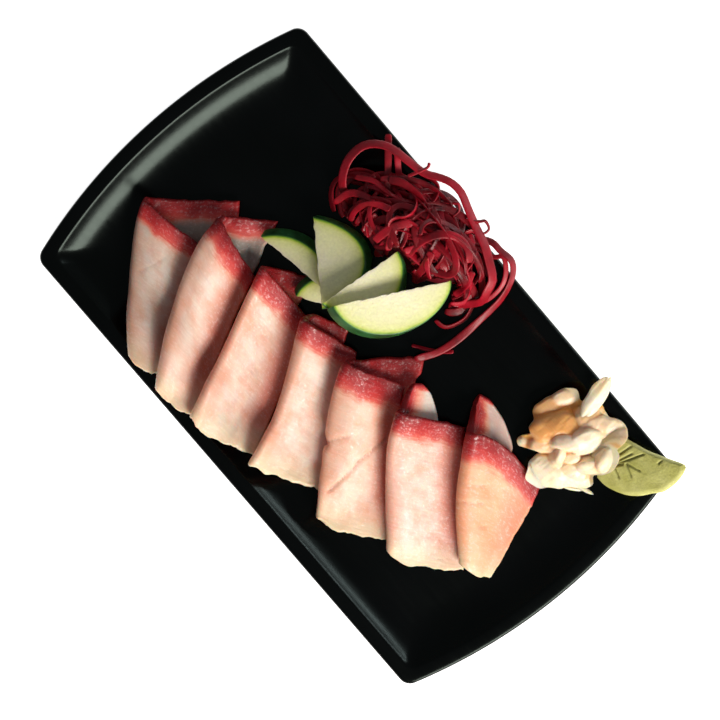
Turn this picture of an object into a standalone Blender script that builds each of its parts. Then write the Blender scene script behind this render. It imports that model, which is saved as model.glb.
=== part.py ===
"""Sashimi plate.

Seven folded slices of yellowtail lie shingled along a black plate with bowed ends. Beside
them are five half-moons of cucumber, a nest of beet ribbons, a heap of pickled ginger and
a leaf moulded from wasabi.

The frame has +X along the plate, +Y across it and +Z up. Its origin is on the table, under
the middle of the plate. Sizes are in millimetres, and meshes are made in metres.
"""
from collections import namedtuple

import bmesh
import bpy
import numpy as np

METRES_PER_MM = 0.001
GAP = 0.4

# Plate: length and width over the rim, then heights over the table
PLATE_LENGTH = 313.6
PLATE_WIDTH = 176.0
END_RADIUS = 295.0
CORNER_RADIUS = 6.5
RIM_HEIGHT = 20.0
FLOOR_HEIGHT = 9.5
EDGE_DROP = 2.4
LIP_WIDTH = 7.0
WALL_FOOT = 16.0
WALL_FOOT_HEIGHT = 14.0
FLOOR_INSET = 32.0
PLATE_THICKNESS = 3.6
FOOT_INSET = 33.0
END_STEPS = 4
CORNER_STEPS = 3
SIDE_STEPS = 2

# Grid that keeps the height of all that lies on the plate so far
GRID_STEP = 1.0
GRID_HALF_LENGTH = 172.0
GRID_HALF_WIDTH = 112.0

# Fish: one sheet of flesh, folded along its length
FLESH = 3.8
TAIL_FLESH = 2.3
FLAP_GAP = 0.5
TAIL_OPENING = 0.4
OPENING_FALL = 0.9
FOLD_SHARE = 0.34
FOLD_SPREAD = 2.2
FRONT_HOLD = 0.10
FRONT_BELLY = 0.17
CORNER_SHARE = 0.22
TAIL_ROUNDING = 15.0
EDGE_THINNING = 0.3
DRAPE_REACH = 6.0
DRAPE_GAP = 1.3
STEEPEST_LIFT = 1.25
SLICE_COLUMNS = 13
SLICE_ROWS = 10

SliceForm = namedtuple("SliceForm", (
    "apex", "heading", "length", "tail", "bulge", "bulge_at", "opening",
    "front_slope", "front_curve", "front_width", "front_tail_width", "on_rear_flap",
    "rear_rise", "rear_slope", "rear_width", "rear_tail_width"))

# Lengths in mm, headings in degrees from +X, slopes as rise over run
SLICES = (
    SliceForm((-130, -26), -47.0, 79, 7, -5.0, 0.38, 6.5,
              0.59, 0.0, 40, 16, True, 0, -0.08, 46, 12),
    SliceForm((-99, -3), -61.4, 90, 8, -6.3, 0.42, 4.5,
              0.71, 0.0, 32, 22, True, 0, -0.28, 27, 15),
    SliceForm((-67, -3), -66.0, 82, 7, 0.0, 0.50, 4.0,
              0.45, 0.0, 32, 37, True, 0, -0.18, 26, 26),
    SliceForm((-35, -4), -60.8, 78, 3, 3.5, 0.62, 3.5,
              0.27, 0.0, 31, 42, True, 3, 0.10, 24, 32),
    SliceForm((-4, -2), -51.7, 81, 6, -3.5, 0.28, 3.5,
              0.22, 0.0, 34, 40, True, 0, -0.23, 33, 30),
    SliceForm((32, 2), -45.6, 71, 9, -4.0, 0.30, 4.0,
              0.17, 0.0, 37, 40, True, 22, -0.10, 20, 29),
    SliceForm((61, 21), -43.0, 67, 9, -3.0, 0.50, 5.0,
              0.05, 0.0155, 42, 17, False, 20, 0.55, 24, 8),
)

# Cucumber: bias-cut half-moons, in the order in which they are laid
CUCUMBER_THICKNESS = 4.2
CUCUMBER_BEVEL = 0.5
CUCUMBER_STEPS = 14
# Ends are the outline's powers at tip and butt, lean is how far the top lies from the bottom
HalfMoon = namedtuple("HalfMoon", "tip heading length depth pitch roll ends lean")
HALF_MOONS = (
    HalfMoon((-46, 0), 211.0, 38, 16, 8, 2, (1.2, 1.4), (1.5, -2.5)),
    HalfMoon((-79, 7), 190.0, 48, 12, -7, 6, (1.7, 1.3), (1.5, -4.2)),
    HalfMoon((-68, 33), 146.0, 46.5, 24, -12, 0, (1.75, 1.1), (1.5, -3.2)),
    HalfMoon((-27, 53), 84.0, 45.5, 21.5, -10, 14, (1.0, 1.7), (1.0, -4.2)),
    HalfMoon((-1, 62), 61.5, 60, 21, -12, 14, (1.15, 1.35), (-2.6, -2.4)),
)

# Beets: a low core, and ribbons that loop out of it
BEET_CENTRE = (-26.0, 62.0)
BEET_RADII = (38.0, 21.0)
BEET_HEIGHT = 12.5
BEET_TURN = 18.0
BEET_SECTORS = 18
BEET_RINGS = 4
RIBBON_WIDTH = 2.8
RIBBON_THICKNESS = 1.3
RIBBON_STEPS = 12
RIBBON_COUNT = 34
RIBBON_SEED = 8

# Ginger: a low core and thin petals
GINGER_CENTRE = (102.0, 56.0)
GINGER_RADII = (19.0, 18.0)
GINGER_HEIGHT = 10.0
PETAL_CLEARANCE = 2.2
PETAL_THICKNESS = 1.7
PETAL_COLUMNS = 7
PETAL_ROWS = 5

# Wasabi: a leaf with a rib and side veins pressed into it
WASABI_BUTT = (121.0, 58.5)
WASABI_TIP = (144.0, 89.5)
WASABI_WIDTH = 25.0
WASABI_THICKNESS = 6.0
WASABI_PITCH = 30.0
WASABI_COLUMNS = 15
WASABI_ROWS = 9


def linear(hex_colour):
    """Scene-linear RGBA of an sRGB colour written as six hex digits."""
    srgb = np.array([int(hex_colour[i:i + 2], 16) for i in (0, 2, 4)]) / 255.0
    low = srgb / 12.92
    high = ((srgb + 0.055) / 1.055) ** 2.4
    return (*np.where(srgb <= 0.04045, low, high), 1.0)


def make_material(name, hex_colour, roughness, subsurface=0.0):
    """Principled material of one colour."""
    material = bpy.data.materials.new(name)
    material.use_nodes = True
    shader = material.node_tree.nodes["Principled BSDF"]
    shader.inputs["Base Color"].default_value = linear(hex_colour)
    shader.inputs["Roughness"].default_value = roughness
    shader.inputs["Metallic"].default_value = 0.0
    shader.inputs["Subsurface Weight"].default_value = subsurface
    return material


def make_object(name, points, faces, material, sharp_degrees=50.0):
    """Object of that name from points in millimetres."""
    mesh = bpy.data.meshes.new(name)
    mesh.from_pydata((np.asarray(points) * METRES_PER_MM).tolist(), [], faces)
    mesh.validate()
    mesh.shade_smooth()
    mesh.set_sharp_from_angle(angle=np.radians(sharp_degrees))
    mesh.materials.append(material)
    made = bpy.data.objects.new(name, mesh)
    bpy.context.scene.collection.objects.link(made)
    return made


def ease(value):
    """0 below 0, 1 above 1, and a smooth step between."""
    share = np.clip(value, 0.0, 1.0)
    return share * share * (3.0 - 2.0 * share)


def unit(vectors):
    """Vectors scaled to length 1."""
    return vectors / np.linalg.norm(vectors, axis=-1, keepdims=True)


def direction(degrees):
    """Unit vector in the plate's plane at that angle from +X."""
    return np.array([np.cos(np.radians(degrees)), np.sin(np.radians(degrees))])


def plate_profile():
    """Insets from the rim's edge and heights of the top, from the edge to the floor."""
    return np.array([
        (0.0, RIM_HEIGHT - EDGE_DROP),
        (0.5, RIM_HEIGHT - 0.8),
        (1.7, RIM_HEIGHT),
        (LIP_WIDTH, RIM_HEIGHT - 0.2),
        (LIP_WIDTH + 1.2, RIM_HEIGHT - 0.8),
        (WALL_FOOT, WALL_FOOT_HEIGHT),
        (WALL_FOOT + 3.5, FLOOR_HEIGHT + 2.7),
        (WALL_FOOT + 7.5, FLOOR_HEIGHT + 1.1),
        (WALL_FOOT + 11.5, FLOOR_HEIGHT + 0.3),
        (FLOOR_INSET, FLOOR_HEIGHT)])


def plate_underside():
    """Insets and heights of the underside, from the rim's edge to the flat foot."""
    under_floor = FLOOR_HEIGHT - PLATE_THICKNESS
    return np.array([
        (0.6, RIM_HEIGHT - EDGE_DROP - 1.1),
        (1.9, RIM_HEIGHT - PLATE_THICKNESS),
        (LIP_WIDTH, RIM_HEIGHT - PLATE_THICKNESS - 0.5),
        (WALL_FOOT, WALL_FOOT_HEIGHT - PLATE_THICKNESS),
        (WALL_FOOT + 7.0, under_floor + 0.6),
        (FLOOR_INSET - 2.5, under_floor),
        (FOOT_INSET - 1.2, under_floor - 0.6),
        (FOOT_INSET + 0.8, 0.0)])


def contour(inset):
    """Closed outline of the plate, pulled in by inset: bowed ends and rounded corners."""
    centre = PLATE_LENGTH / 2 - END_RADIUS
    radius = END_RADIUS - inset
    half_width = PLATE_WIDTH / 2 - inset
    corner_y = half_width - CORNER_RADIUS
    corner_x = centre + np.sqrt((radius - CORNER_RADIUS) ** 2 - corner_y ** 2)
    reach = np.arctan2(corner_y, corner_x - centre)
    end = np.linspace(0.0, reach, END_STEPS + 1)
    turn = np.linspace(reach, np.pi / 2, CORNER_STEPS + 1)[1:]
    side = np.linspace(corner_x, 0.0, SIDE_STEPS + 1)[1:]
    x = np.concatenate([centre + radius * np.cos(end),
                        corner_x + CORNER_RADIUS * np.cos(turn), side])
    y = np.concatenate([radius * np.sin(end),
                        corner_y + CORNER_RADIUS * np.sin(turn),
                        np.full(SIDE_STEPS, half_width)])
    half = np.concatenate([np.stack([x, y], 1), np.stack([-x, y], 1)[-2::-1]])
    return np.concatenate([half, (half * (1, -1))[-2:0:-1]])


def inset_distance(x, y):
    """How far a point lies in from the plate's outline, eased at the corners."""
    from_end = END_RADIUS - np.hypot(np.abs(x) + END_RADIUS - PLATE_LENGTH / 2, y)
    from_side = PLATE_WIDTH / 2 - np.abs(y)
    easing = 1.17 * CORNER_RADIUS
    overlap = np.maximum(easing - np.abs(from_end - from_side), 0.0)
    return np.minimum(from_end, from_side) - overlap ** 2 / (4 * easing)


def plate_top(x, y):
    """Height of the plate's top, and the table's height outside the plate."""
    profile = plate_profile()
    inset = inset_distance(x, y)
    return np.where(inset < 0, 0.0, np.interp(inset, profile[:, 0], profile[:, 1]))


class Ground:
    """Heights of all that lies on the plate so far, on a square grid."""

    def __init__(self):
        self.x = np.arange(-GRID_HALF_LENGTH, GRID_HALF_LENGTH + 1, GRID_STEP)
        self.y = np.arange(-GRID_HALF_WIDTH, GRID_HALF_WIDTH + 1, GRID_STEP)
        self.height = plate_top(*np.meshgrid(self.x, self.y, indexing="ij"))

    def add(self, points):
        """Raise the grid to points on the surface of a new piece."""
        column = np.rint((points[:, 0] - self.x[0]) / GRID_STEP).astype(int)
        row = np.rint((points[:, 1] - self.y[0]) / GRID_STEP).astype(int)
        np.maximum.at(self.height, (column, row), points[:, 2])

    def disc(self, reach):
        """Grid offsets inside a disc of that radius."""
        span = int(reach // GRID_STEP)
        steps = range(-span, span + 1)
        return [(i, j) for i in steps for j in steps if np.hypot(i, j) * GRID_STEP <= reach]

    def raised(self, reach):
        """Highest level within reach of each grid point."""
        shifts = [np.roll(self.height, step, (0, 1)) for step in self.disc(reach)]
        return np.max(shifts, axis=0)

    def draped(self, reach):
        """Smooth levels that lie nowhere under the pieces: raised, then evened out twice."""
        level = self.raised(reach)
        for _ in range(2):
            level = np.mean([np.roll(level, step, (0, 1)) for step in self.disc(reach / 2)],
                            axis=0)
        return level

    def sample(self, level, x, y):
        """Level at any place, from its four grid points."""
        column = np.clip((x - self.x[0]) / GRID_STEP, 0, len(self.x) - 1.001)
        row = np.clip((y - self.y[0]) / GRID_STEP, 0, len(self.y) - 1.001)
        i = column.astype(int)
        j = row.astype(int)
        u = column - i
        v = row - j
        near = level[i, j] * (1 - v) + level[i, j + 1] * v
        far = level[i + 1, j] * (1 - v) + level[i + 1, j + 1] * v
        return near * (1 - u) + far * u

    def steepness(self, level, x, y):
        """Length of a slope's surface over its plan length."""
        along = self.sample(level, x + 1, y) - self.sample(level, x - 1, y)
        across = self.sample(level, x, y + 1) - self.sample(level, x, y - 1)
        return np.sqrt(1 + (along ** 2 + across ** 2) / 4)


def surface_points(points, triangles, samples=9):
    """Points spread over every triangle."""
    first, second, third = (points[triangles[:, k]] for k in range(3))
    found = [points]
    for i in range(samples + 1):
        for j in range(samples + 1 - i):
            u = i / samples
            v = j / samples
            found.append(first * (1 - u - v) + second * u + third * v)
    return np.concatenate(found)


def grid_triangles(rows, columns, start=0, flip=False):
    """Two triangles for each cell of a grid of points."""
    index = start + np.arange(rows * columns).reshape(rows, columns)
    a = index[:-1, :-1].ravel()
    b = index[1:, :-1].ravel()
    c = index[1:, 1:].ravel()
    d = index[:-1, 1:].ravel()
    triangles = np.concatenate([np.stack([a, b, c], 1), np.stack([a, c, d], 1)])
    return triangles[:, ::-1] if flip else triangles


def thick_sheet(middle, half):
    """Closed solid round a grid of middle points, half thick to each side of it."""
    rows, columns = middle.shape[:2]
    normal = unit(np.cross(np.gradient(middle, axis=0), np.gradient(middle, axis=1)))
    upper = (middle + normal * half[..., None]).reshape(-1, 3)
    lower = (middle - normal * half[..., None]).reshape(-1, 3)
    count = rows * columns
    index = np.arange(count).reshape(rows, columns)
    rim = np.concatenate([index[:, 0], index[-1, 1:], index[-2::-1, -1], index[0, -2:0:-1]])
    after = np.roll(rim, -1)
    sides = np.concatenate([np.stack([rim, rim + count, after], 1),
                            np.stack([after, rim + count, after + count], 1)])
    triangles = np.concatenate([grid_triangles(rows, columns),
                                grid_triangles(rows, columns, count, flip=True), sides])
    return np.concatenate([upper, lower]), triangles


def fold_slice(form, ground, columns, rows):
    """Middle of a folded slice as a grid of points, and half its thickness.

    Across the slice, share a runs from -1 at the rear flap's free edge over 0 on the fold
    to 1 at the front flap's free edge. Along it, share b runs from 0 at the red edge to 1
    at the tail. The fold is half an ellipse, wider above than below, whose height shrinks
    towards the tail. The rear flap lies on what is below and has a square upper corner, and
    the front flap sinks towards the rear one.
    """
    a, b = np.meshgrid(np.linspace(-1, 1, columns), np.linspace(0, 1, rows), indexing="ij")
    front = a > 0
    bend = np.clip(a / FOLD_SHARE, -1, 1) * np.pi / 2
    flap = np.clip((np.abs(a) - FOLD_SHARE) / (1 - FOLD_SHARE), 0, 1)
    flesh = FLESH + (TAIL_FLESH - FLESH) * b
    stack = flesh + FLAP_GAP + TAIL_OPENING + form.opening * (1 - b) ** OPENING_FALL
    fold_depth = stack / 2 * np.where(front, FOLD_SPREAD, 1.0)
    fold_start = flesh / 2 + fold_depth
    narrowing = form.front_tail_width - form.front_width
    front_width = form.front_width + narrowing * b + FRONT_BELLY * abs(narrowing) * np.sin(np.pi * b)
    past_corner = np.maximum(b - CORNER_SHARE, 0) / (1 - CORNER_SHARE)
    rear_width = form.rear_width + (form.rear_tail_width - form.rear_width) * past_corner
    width = np.where(front, front_width, rear_width)
    sideways = np.where(flap > 0, fold_start + flap * (width - fold_start),
                        fold_start - fold_depth * np.cos(bend))
    front_edge = form.front_slope * sideways + form.front_curve * sideways ** 2
    rear_edge = form.rear_slope * sideways - form.rear_rise * ease(-bend / np.pi * 2)
    tail_edge = form.length + form.tail * (1 - (1 - np.minimum(sideways / TAIL_ROUNDING, 1)) ** 2)
    edge = np.where(front, front_edge, rear_edge)
    down = edge + b * (tail_edge - edge)
    skew = np.log(0.5) / np.log(form.bulge_at)
    arch = np.sin(np.pi * np.clip(down / form.length, 0, 1) ** skew)
    sway = form.bulge * arch * np.where(front, 1.0, 1 - flap)
    forwards = direction(form.heading)
    right = direction(form.heading + 90)
    plan = (np.array(form.apex) + down[..., None] * forwards
            + (sideways + sway)[..., None] * right)
    x, y = plan[..., 0], plan[..., 1]
    level = ground.draped(DRAPE_REACH)
    slope = np.minimum(ground.steepness(level, x, y), STEEPEST_LIFT)
    rest = (flesh + FLAP_GAP) * form.on_rear_flap
    settled = rest + (stack - rest) * (1 - ease((flap - FRONT_HOLD) / (1 - FRONT_HOLD)))
    lift = np.where(flap > 0, np.where(front, settled, 0.0),
                    stack / 2 * (1 + np.sin(bend)))
    half = flesh / 2 * (1 - EDGE_THINNING * np.maximum(flap ** 6, b ** 8))
    z = ground.sample(level, x, y) + (flesh / 2 + lift) * slope + DRAPE_GAP
    return np.stack([x, y, z], -1), half


def turned(points, heading, pitch, roll):
    """Points rolled about their x axis, pitched up along it, then turned to a heading."""
    cp, sp = np.cos(np.radians(pitch)), np.sin(np.radians(pitch))
    cr, sr = np.cos(np.radians(roll)), np.sin(np.radians(roll))
    ch, sh = direction(heading)
    roll_matrix = np.array([[1, 0, 0], [0, cr, -sr], [0, sr, cr]])
    pitch_matrix = np.array([[cp, 0, -sp], [0, 1, 0], [sp, 0, cp]])
    heading_matrix = np.array([[ch, -sh, 0], [sh, ch, 0], [0, 0, 1]])
    return points @ (heading_matrix @ pitch_matrix @ roll_matrix).T


def half_moon(length, depth, ends, lean):
    """Half of a bias-cut cucumber slice: its tip at 0, its chord along -x, its skin at -y."""
    turn = np.linspace(0, np.pi, CUCUMBER_STEPS + 1)
    swell = np.abs(np.sin(turn)) ** (ends[0] + (ends[1] - ends[0]) * turn / np.pi)
    outline = np.stack([-length / 2 * (1 - np.cos(turn)), -depth * swell], 1)
    inner = (outline - (-length / 2, -depth * 0.42)) * (1 - 2 * CUCUMBER_BEVEL / depth)
    inner = inner + (-length / 2, -depth * 0.42)
    half = CUCUMBER_THICKNESS / 2
    levels = ((inner, -half), (outline, CUCUMBER_BEVEL - half),
              (outline, half - CUCUMBER_BEVEL), (inner, half))
    points = np.concatenate([np.column_stack([ring - np.array(lean) * z / CUCUMBER_THICKNESS,
                                              np.full(len(ring), z)])
                             for ring, z in levels])
    return points, lofted_triangles(len(outline), len(levels))


def lofted_triangles(count, rings):
    """Triangles between stacked closed rings, with a fan over each end."""
    around = np.arange(count)
    after = np.roll(around, -1)
    parts = []
    for k in range(rings - 1):
        low = k * count
        high = low + count
        parts.append(np.stack([low + around, low + after, high + after], 1))
        parts.append(np.stack([low + around, high + after, high + around], 1))
    fan = np.stack([np.zeros(count - 2, int), around[1:-1], around[2:]], 1)
    parts.append(fan[:, ::-1])
    parts.append(fan + (rings - 1) * count)
    return np.concatenate(parts)


def facing_out(points, triangles):
    """The triangles, turned round if the solid's volume comes out negative."""
    a, b, c = (points[triangles[:, k]] for k in range(3))
    volume = np.sum(a * np.cross(b, c)) / 6
    return triangles[:, ::-1] if volume < 0 else triangles


def rested(points, triangles, ground, reach=1.5):
    """The points, lowered or raised until their solid just clears what lies below."""
    level = ground.raised(reach)
    spread = surface_points(points, triangles)
    rise = np.max(ground.sample(level, spread[:, 0], spread[:, 1]) - spread[:, 2]) + GAP
    return points + (0, 0, rise)


def mound_height(x, y, centre, radii, turn, height):
    """Height of a low uneven dome over what it stands on, 0 at its edge and outside it."""
    cos, sin = direction(turn)
    u = ((x - centre[0]) * cos + (y - centre[1]) * sin) / radii[0]
    v = ((y - centre[1]) * cos - (x - centre[0]) * sin) / radii[1]
    distance = np.hypot(u, v)
    angle = np.arctan2(v, u)
    lumps = 1 + 0.10 * np.sin(3 * angle + 1.0) * distance + 0.08 * np.sin(5 * angle)
    return height * np.sqrt(np.maximum(1 - distance ** 2.4, 0.0)) * lumps


def mound(ground, centre, radii, turn, height, sectors, rings):
    """Closed dome on what lies below it: rings of points round a middle, above and below."""
    level = ground.draped(4.0)
    share = np.sqrt(np.arange(1, rings + 1) / rings)[:, None]
    angle = np.linspace(0, 2 * np.pi, sectors, endpoint=False)[None, :]
    cos, sin = direction(turn)
    u = radii[0] * share * np.cos(angle)
    v = radii[1] * share * np.sin(angle)
    x = np.append(centre[0], (centre[0] + u * cos - v * sin).ravel())
    y = np.append(centre[1], (centre[1] + u * sin + v * cos).ravel())
    low = ground.sample(level, x, y) + GAP
    high = low + 1.5 + mound_height(x, y, centre, radii, turn, height)
    points = np.concatenate([np.stack([x, y, high], 1), np.stack([x, y, low], 1)])
    count = len(x)
    around = np.arange(sectors)
    after = np.roll(around, -1)
    parts = [np.stack([np.zeros(sectors, int), 1 + around, 1 + after], 1)]
    for k in range(rings - 1):
        near = 1 + k * sectors
        far = near + sectors
        parts.append(np.stack([near + around, far + around, far + after], 1))
        parts.append(np.stack([near + around, far + after, near + after], 1))
    top = np.concatenate(parts)
    edge = 1 + (rings - 1) * sectors
    side = np.concatenate([
        np.stack([edge + around, edge + around + count, edge + after], 1),
        np.stack([edge + after, edge + around + count, edge + after + count], 1)])
    return points, np.concatenate([top, top[:, ::-1] + count, side])


def smooth_route(points, count):
    """Points spaced evenly along a Catmull-Rom curve through the given ones."""
    points = np.asarray(points, float)
    ends = (2 * points[0] - points[1], 2 * points[-1] - points[-2])
    padded = np.concatenate([[ends[0]], points, [ends[1]]])
    share = np.linspace(0, 1, 9)[:, None]
    curve = []
    for p, q, r, s in zip(padded, padded[1:], padded[2:], padded[3:]):
        curve.append(0.5 * (2 * q + (r - p) * share + (2 * p - 5 * q + 4 * r - s) * share ** 2
                            + (3 * q - p - 3 * r + s) * share ** 3))
    curve = np.concatenate(curve)
    length = np.append(0, np.cumsum(np.linalg.norm(np.diff(curve, axis=0), axis=1)))
    wanted = np.linspace(0, length[-1], count)
    return np.stack([np.interp(wanted, length, curve[:, k]) for k in range(3)], 1)


def ribbon(route, width, lean):
    """Flat strip along a route, its faces turned by lean degrees from level."""
    tangent = unit(np.gradient(route, axis=0))
    level = unit(np.cross(tangent, (0, 0, 1.0)) + (1e-6, 0, 0))
    upright = np.cross(level, tangent)
    lean = np.radians(lean)[:, None]
    side = level * np.cos(lean) + upright * np.sin(lean)
    face = np.cross(side, tangent)
    taper = np.minimum(1, 0.45 + 2.5 * np.sin(np.linspace(0, np.pi, len(route))))[:, None]
    across = side * taper * width / 2
    through = face * RIBBON_THICKNESS / 2
    corners = np.stack([route + across + through, route - across + through,
                        route - across - through, route + across - through], 1)
    points = corners.reshape(-1, 3)
    return points, facing_out(points, lofted_triangles(4, len(route)))


def fused(name, parts, material):
    """One object from overlapping solids: their union, without loose scraps."""
    pieces = [make_object(f"{name}_part", *part, material) for part in parts]
    core = pieces[0]
    group = bpy.data.collections.new(f"{name}_parts")
    bpy.context.scene.collection.children.link(group)
    for piece in pieces[1:]:
        group.objects.link(piece)
    union = core.modifiers.new("union", "BOOLEAN")
    union.operation = "UNION"
    union.operand_type = "COLLECTION"
    union.collection = group
    seen = core.evaluated_get(bpy.context.evaluated_depsgraph_get())
    mesh = bpy.data.meshes.new_from_object(seen)
    keep_largest_body(mesh)
    mesh.name = name
    made = bpy.data.objects.new(name, mesh)
    bpy.context.scene.collection.objects.link(made)
    for piece in pieces:
        bpy.data.objects.remove(piece, do_unlink=True)
    bpy.data.collections.remove(group)
    return made


def keep_largest_body(mesh):
    """Drop every island of the mesh but the one with the most faces."""
    form = bmesh.new()
    form.from_mesh(mesh)
    left = set(form.verts)
    islands = []
    while left:
        island = {left.pop()}
        edge_of = list(island)
        while edge_of:
            vertex = edge_of.pop()
            for edge in vertex.link_edges:
                other = edge.other_vert(vertex)
                if other not in island:
                    island.add(other)
                    edge_of.append(other)
        left -= island
        islands.append(island)
    largest = max(islands, key=len)
    bmesh.ops.delete(form, geom=[v for v in form.verts if v not in largest], context="VERTS")
    form.to_mesh(mesh)
    form.free()


def make_plate():
    """Pressed plate: a flat lip, sloping walls, a flat floor and a solid flat foot."""
    sections = np.concatenate([plate_underside()[::-1], plate_profile()])
    rings = [contour(inset) for inset, _ in sections]
    count = len(rings[0])
    points = np.concatenate([np.column_stack([ring, np.full(count, height)])
                             for ring, (_, height) in zip(rings, sections)])
    around = np.arange(count)
    after = np.roll(around, -1)
    faces = []
    for k in range(len(rings) - 1):
        low = k * count
        high = low + count
        faces += np.stack([low + around, low + after, high + after, high + around], 1).tolist()
    faces.append(around[::-1].tolist())
    faces.append((around + (len(rings) - 1) * count).tolist())
    black = make_material("black_satin_plate", "0b0c0d", 0.32)
    return make_object("plate", points, faces, black, 60.0)


def make_slices(ground):
    """Seven slices, each laid over the edge of the one before."""
    for number, form in enumerate(SLICES, 1):
        flesh = make_material(f"yellowtail_{number}", "e3ab9c", 0.35, 0.2)
        points, triangles = thick_sheet(*fold_slice(form, ground, SLICE_COLUMNS, SLICE_ROWS))
        triangles = facing_out(points, triangles)
        make_object(f"slice_{number}", points, triangles.tolist(), flesh)
        ground.add(surface_points(points, triangles))


def make_cucumbers(ground):
    """Five half-moons, fanned out, each laid on the ones before."""
    footprint = []
    for number, moon in enumerate(HALF_MOONS, 1):
        green = make_material(f"cucumber_{number}", "cfd68c", 0.4, 0.1)
        points, triangles = half_moon(moon.length, moon.depth, moon.ends, moon.lean)
        triangles = facing_out(points, triangles)
        points = turned(points, moon.heading, moon.pitch, moon.roll) + (*moon.tip, 0)
        points = rested(points, triangles, ground)
        make_object(f"cucumber_{number}", points, triangles.tolist(), green)
        spread = surface_points(points, triangles)
        ground.add(spread)
        footprint.append(spread)
    return np.concatenate(footprint)


def clear_of(route, covered, ground):
    """Longest stretch of a route that keeps off the covered grid points."""
    free = ground.sample(covered, route[:, 0], route[:, 1]) < 0.01
    best = (0, 0)
    start = None
    for k, is_free in enumerate(np.append(free, False)):
        if is_free and start is None:
            start = k
        if not is_free and start is not None:
            best = max(best, (k - start, start))
            start = None
    return route[best[1]:best[1] + best[0]]


def beet_routes(rng):
    """Routes of the ribbons: chosen loops round the nest, then arcs drawn by a seed."""
    routes = [
        ([(-60, 50, 14), (-77, 60, 22), (-79, 73, 24), (-66, 84, 26), (-49, 88, 27),
          (-34, 94, 27), (-12, 89, 30), (5, 83, 29), (15, 74, 26), (8, 58, 12)], 4.6, 20),
        ([(-8, 78, 22), (6, 91, 25), (17, 88, 24), (23, 68, 19), (22, 45, 13), (18, 29, 12),
          (6, 34, 13), (-6, 48, 16)], 3.4, 65),
        ([(-12, 74, 24), (8, 88, 27), (17, 80, 23), (16, 66, 16), (2, 58, 14)], 2.8, 30),
        ([(-46, 66, 18), (-59, 73, 22), (-74, 85, 23)], 3.2, 15),
        ([(-42, 72, 20), (-55, 78, 22), (-66, 85, 24)], 3.0, 40),
        ([(-6, 56, 14), (8, 52, 16), (18, 40, 13), (10, 30, 12), (2, 40, 13)], 2.4, 60),
    ]
    for _ in range(RIBBON_COUNT):
        middle = np.array(BEET_CENTRE) + rng.uniform(-1, 1, 2) * (20, 8)
        radii = rng.uniform(9, 19, 2) * (1.1, 0.8)
        start = rng.uniform(0, 2 * np.pi)
        angle = start + np.linspace(0, rng.uniform(2.0, 4.4), 6)
        tilt = rng.uniform(0, 2 * np.pi)
        height = 23 + rng.uniform(-2, 3) + 4.5 * np.sin(angle + tilt)
        route = np.stack([middle[0] + radii[0] * np.cos(angle),
                          middle[1] + radii[1] * np.sin(angle), height], 1)
        routes.append((route, RIBBON_WIDTH * rng.uniform(0.75, 1.3), rng.uniform(-50, 50)))
    return routes


def make_beets(ground, core, covered):
    """Nest of ribbons over the core, each clear of the plate and of the cucumber."""
    rng = np.random.default_rng(RIBBON_SEED)
    level = ground.draped(3.0)
    parts = [core]
    for points, width, lean in beet_routes(rng):
        route = smooth_route(points, RIBBON_STEPS)
        route = clear_of(route, covered, ground)
        if len(route) < 4:
            continue
        floor = ground.sample(level, route[:, 0], route[:, 1])
        needed = floor + GAP + width / 2 * abs(np.sin(np.radians(lean))) + RIBBON_THICKNESS
        route[:, 2] = np.maximum(route[:, 2], needed)
        parts.append(ribbon(route, width, np.full(len(route), float(lean))))
    crimson = make_material("beet_ribbons", "7c0f22", 0.38, 0.1)
    fused("beet_nest", [(points, triangles.tolist()) for points, triangles in parts], crimson)


def petal(centre, heading, pitch, roll, length, width, dome):
    """Thin slice of ginger, bent over the heap, as a grid of middle points."""
    u, v = np.meshgrid(np.linspace(-1, 1, PETAL_COLUMNS), np.linspace(-1, 1, PETAL_ROWS),
                       indexing="ij")
    breadth = np.sqrt(np.maximum(1 - 0.88 * np.abs(u) ** 2.3, 0))
    x = length / 2 * u
    y = width / 2 * v * breadth
    z = dome * (0.55 - 0.45 * u ** 2 - v ** 2 * breadth)
    points = turned(np.stack([x, y, z], -1), heading, pitch, roll)
    return points + np.array(centre)


def make_ginger(ground):
    """Heap of thin ginger slices, fused to a low core."""
    petals = (
        ((110, 43, 14.5), 38, -4, -6, 40, 21, 6.5),
        ((124, 62, 15.0), 104, 0, 16, 27, 18, 5.5),
        ((108, 73, 17.0), 131, 2, 14, 31, 22, 5.5),
        ((90, 56, 16.5), 101, 4, -14, 35, 23, 6.5),
        ((86, 69, 18.0), 70, 6, -20, 24, 14, 4.5),
        ((91, 48, 20.0), 65, 2, -12, 26, 16, 5.0),
        ((91, 81, 22.5), 114, 22, 10, 25, 8, 2.5),
        ((119, 60, 20.0), 70, 2, 18, 26, 13, 4.5),
        ((97, 60, 23.0), 24, 0, 8, 24, 15, 5.0),
        ((110, 64, 24.0), 35, -2, 12, 26, 15, 5.0),
        ((102, 50, 24.0), 121, 10, -4, 23, 12, 4.5),
    )
    core = mound(ground, GINGER_CENTRE, GINGER_RADII, 20.0, GINGER_HEIGHT, 14, 3)
    parts = [core]
    level = ground.draped(4.0)
    for values in petals:
        middle = petal(*values)
        floor = ground.sample(level, middle[..., 0], middle[..., 1])
        middle[..., 2] = np.maximum(middle[..., 2], floor + PETAL_CLEARANCE)
        half = np.full(middle.shape[:2], PETAL_THICKNESS / 2)
        points, triangles = thick_sheet(middle, half)
        parts.append((points, facing_out(points, triangles)))
    cream = make_material("pickled_ginger", "f3dcb4", 0.4, 0.2)
    fused("pickled_ginger", [(p, t.tolist()) for p, t in parts], cream)


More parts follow.
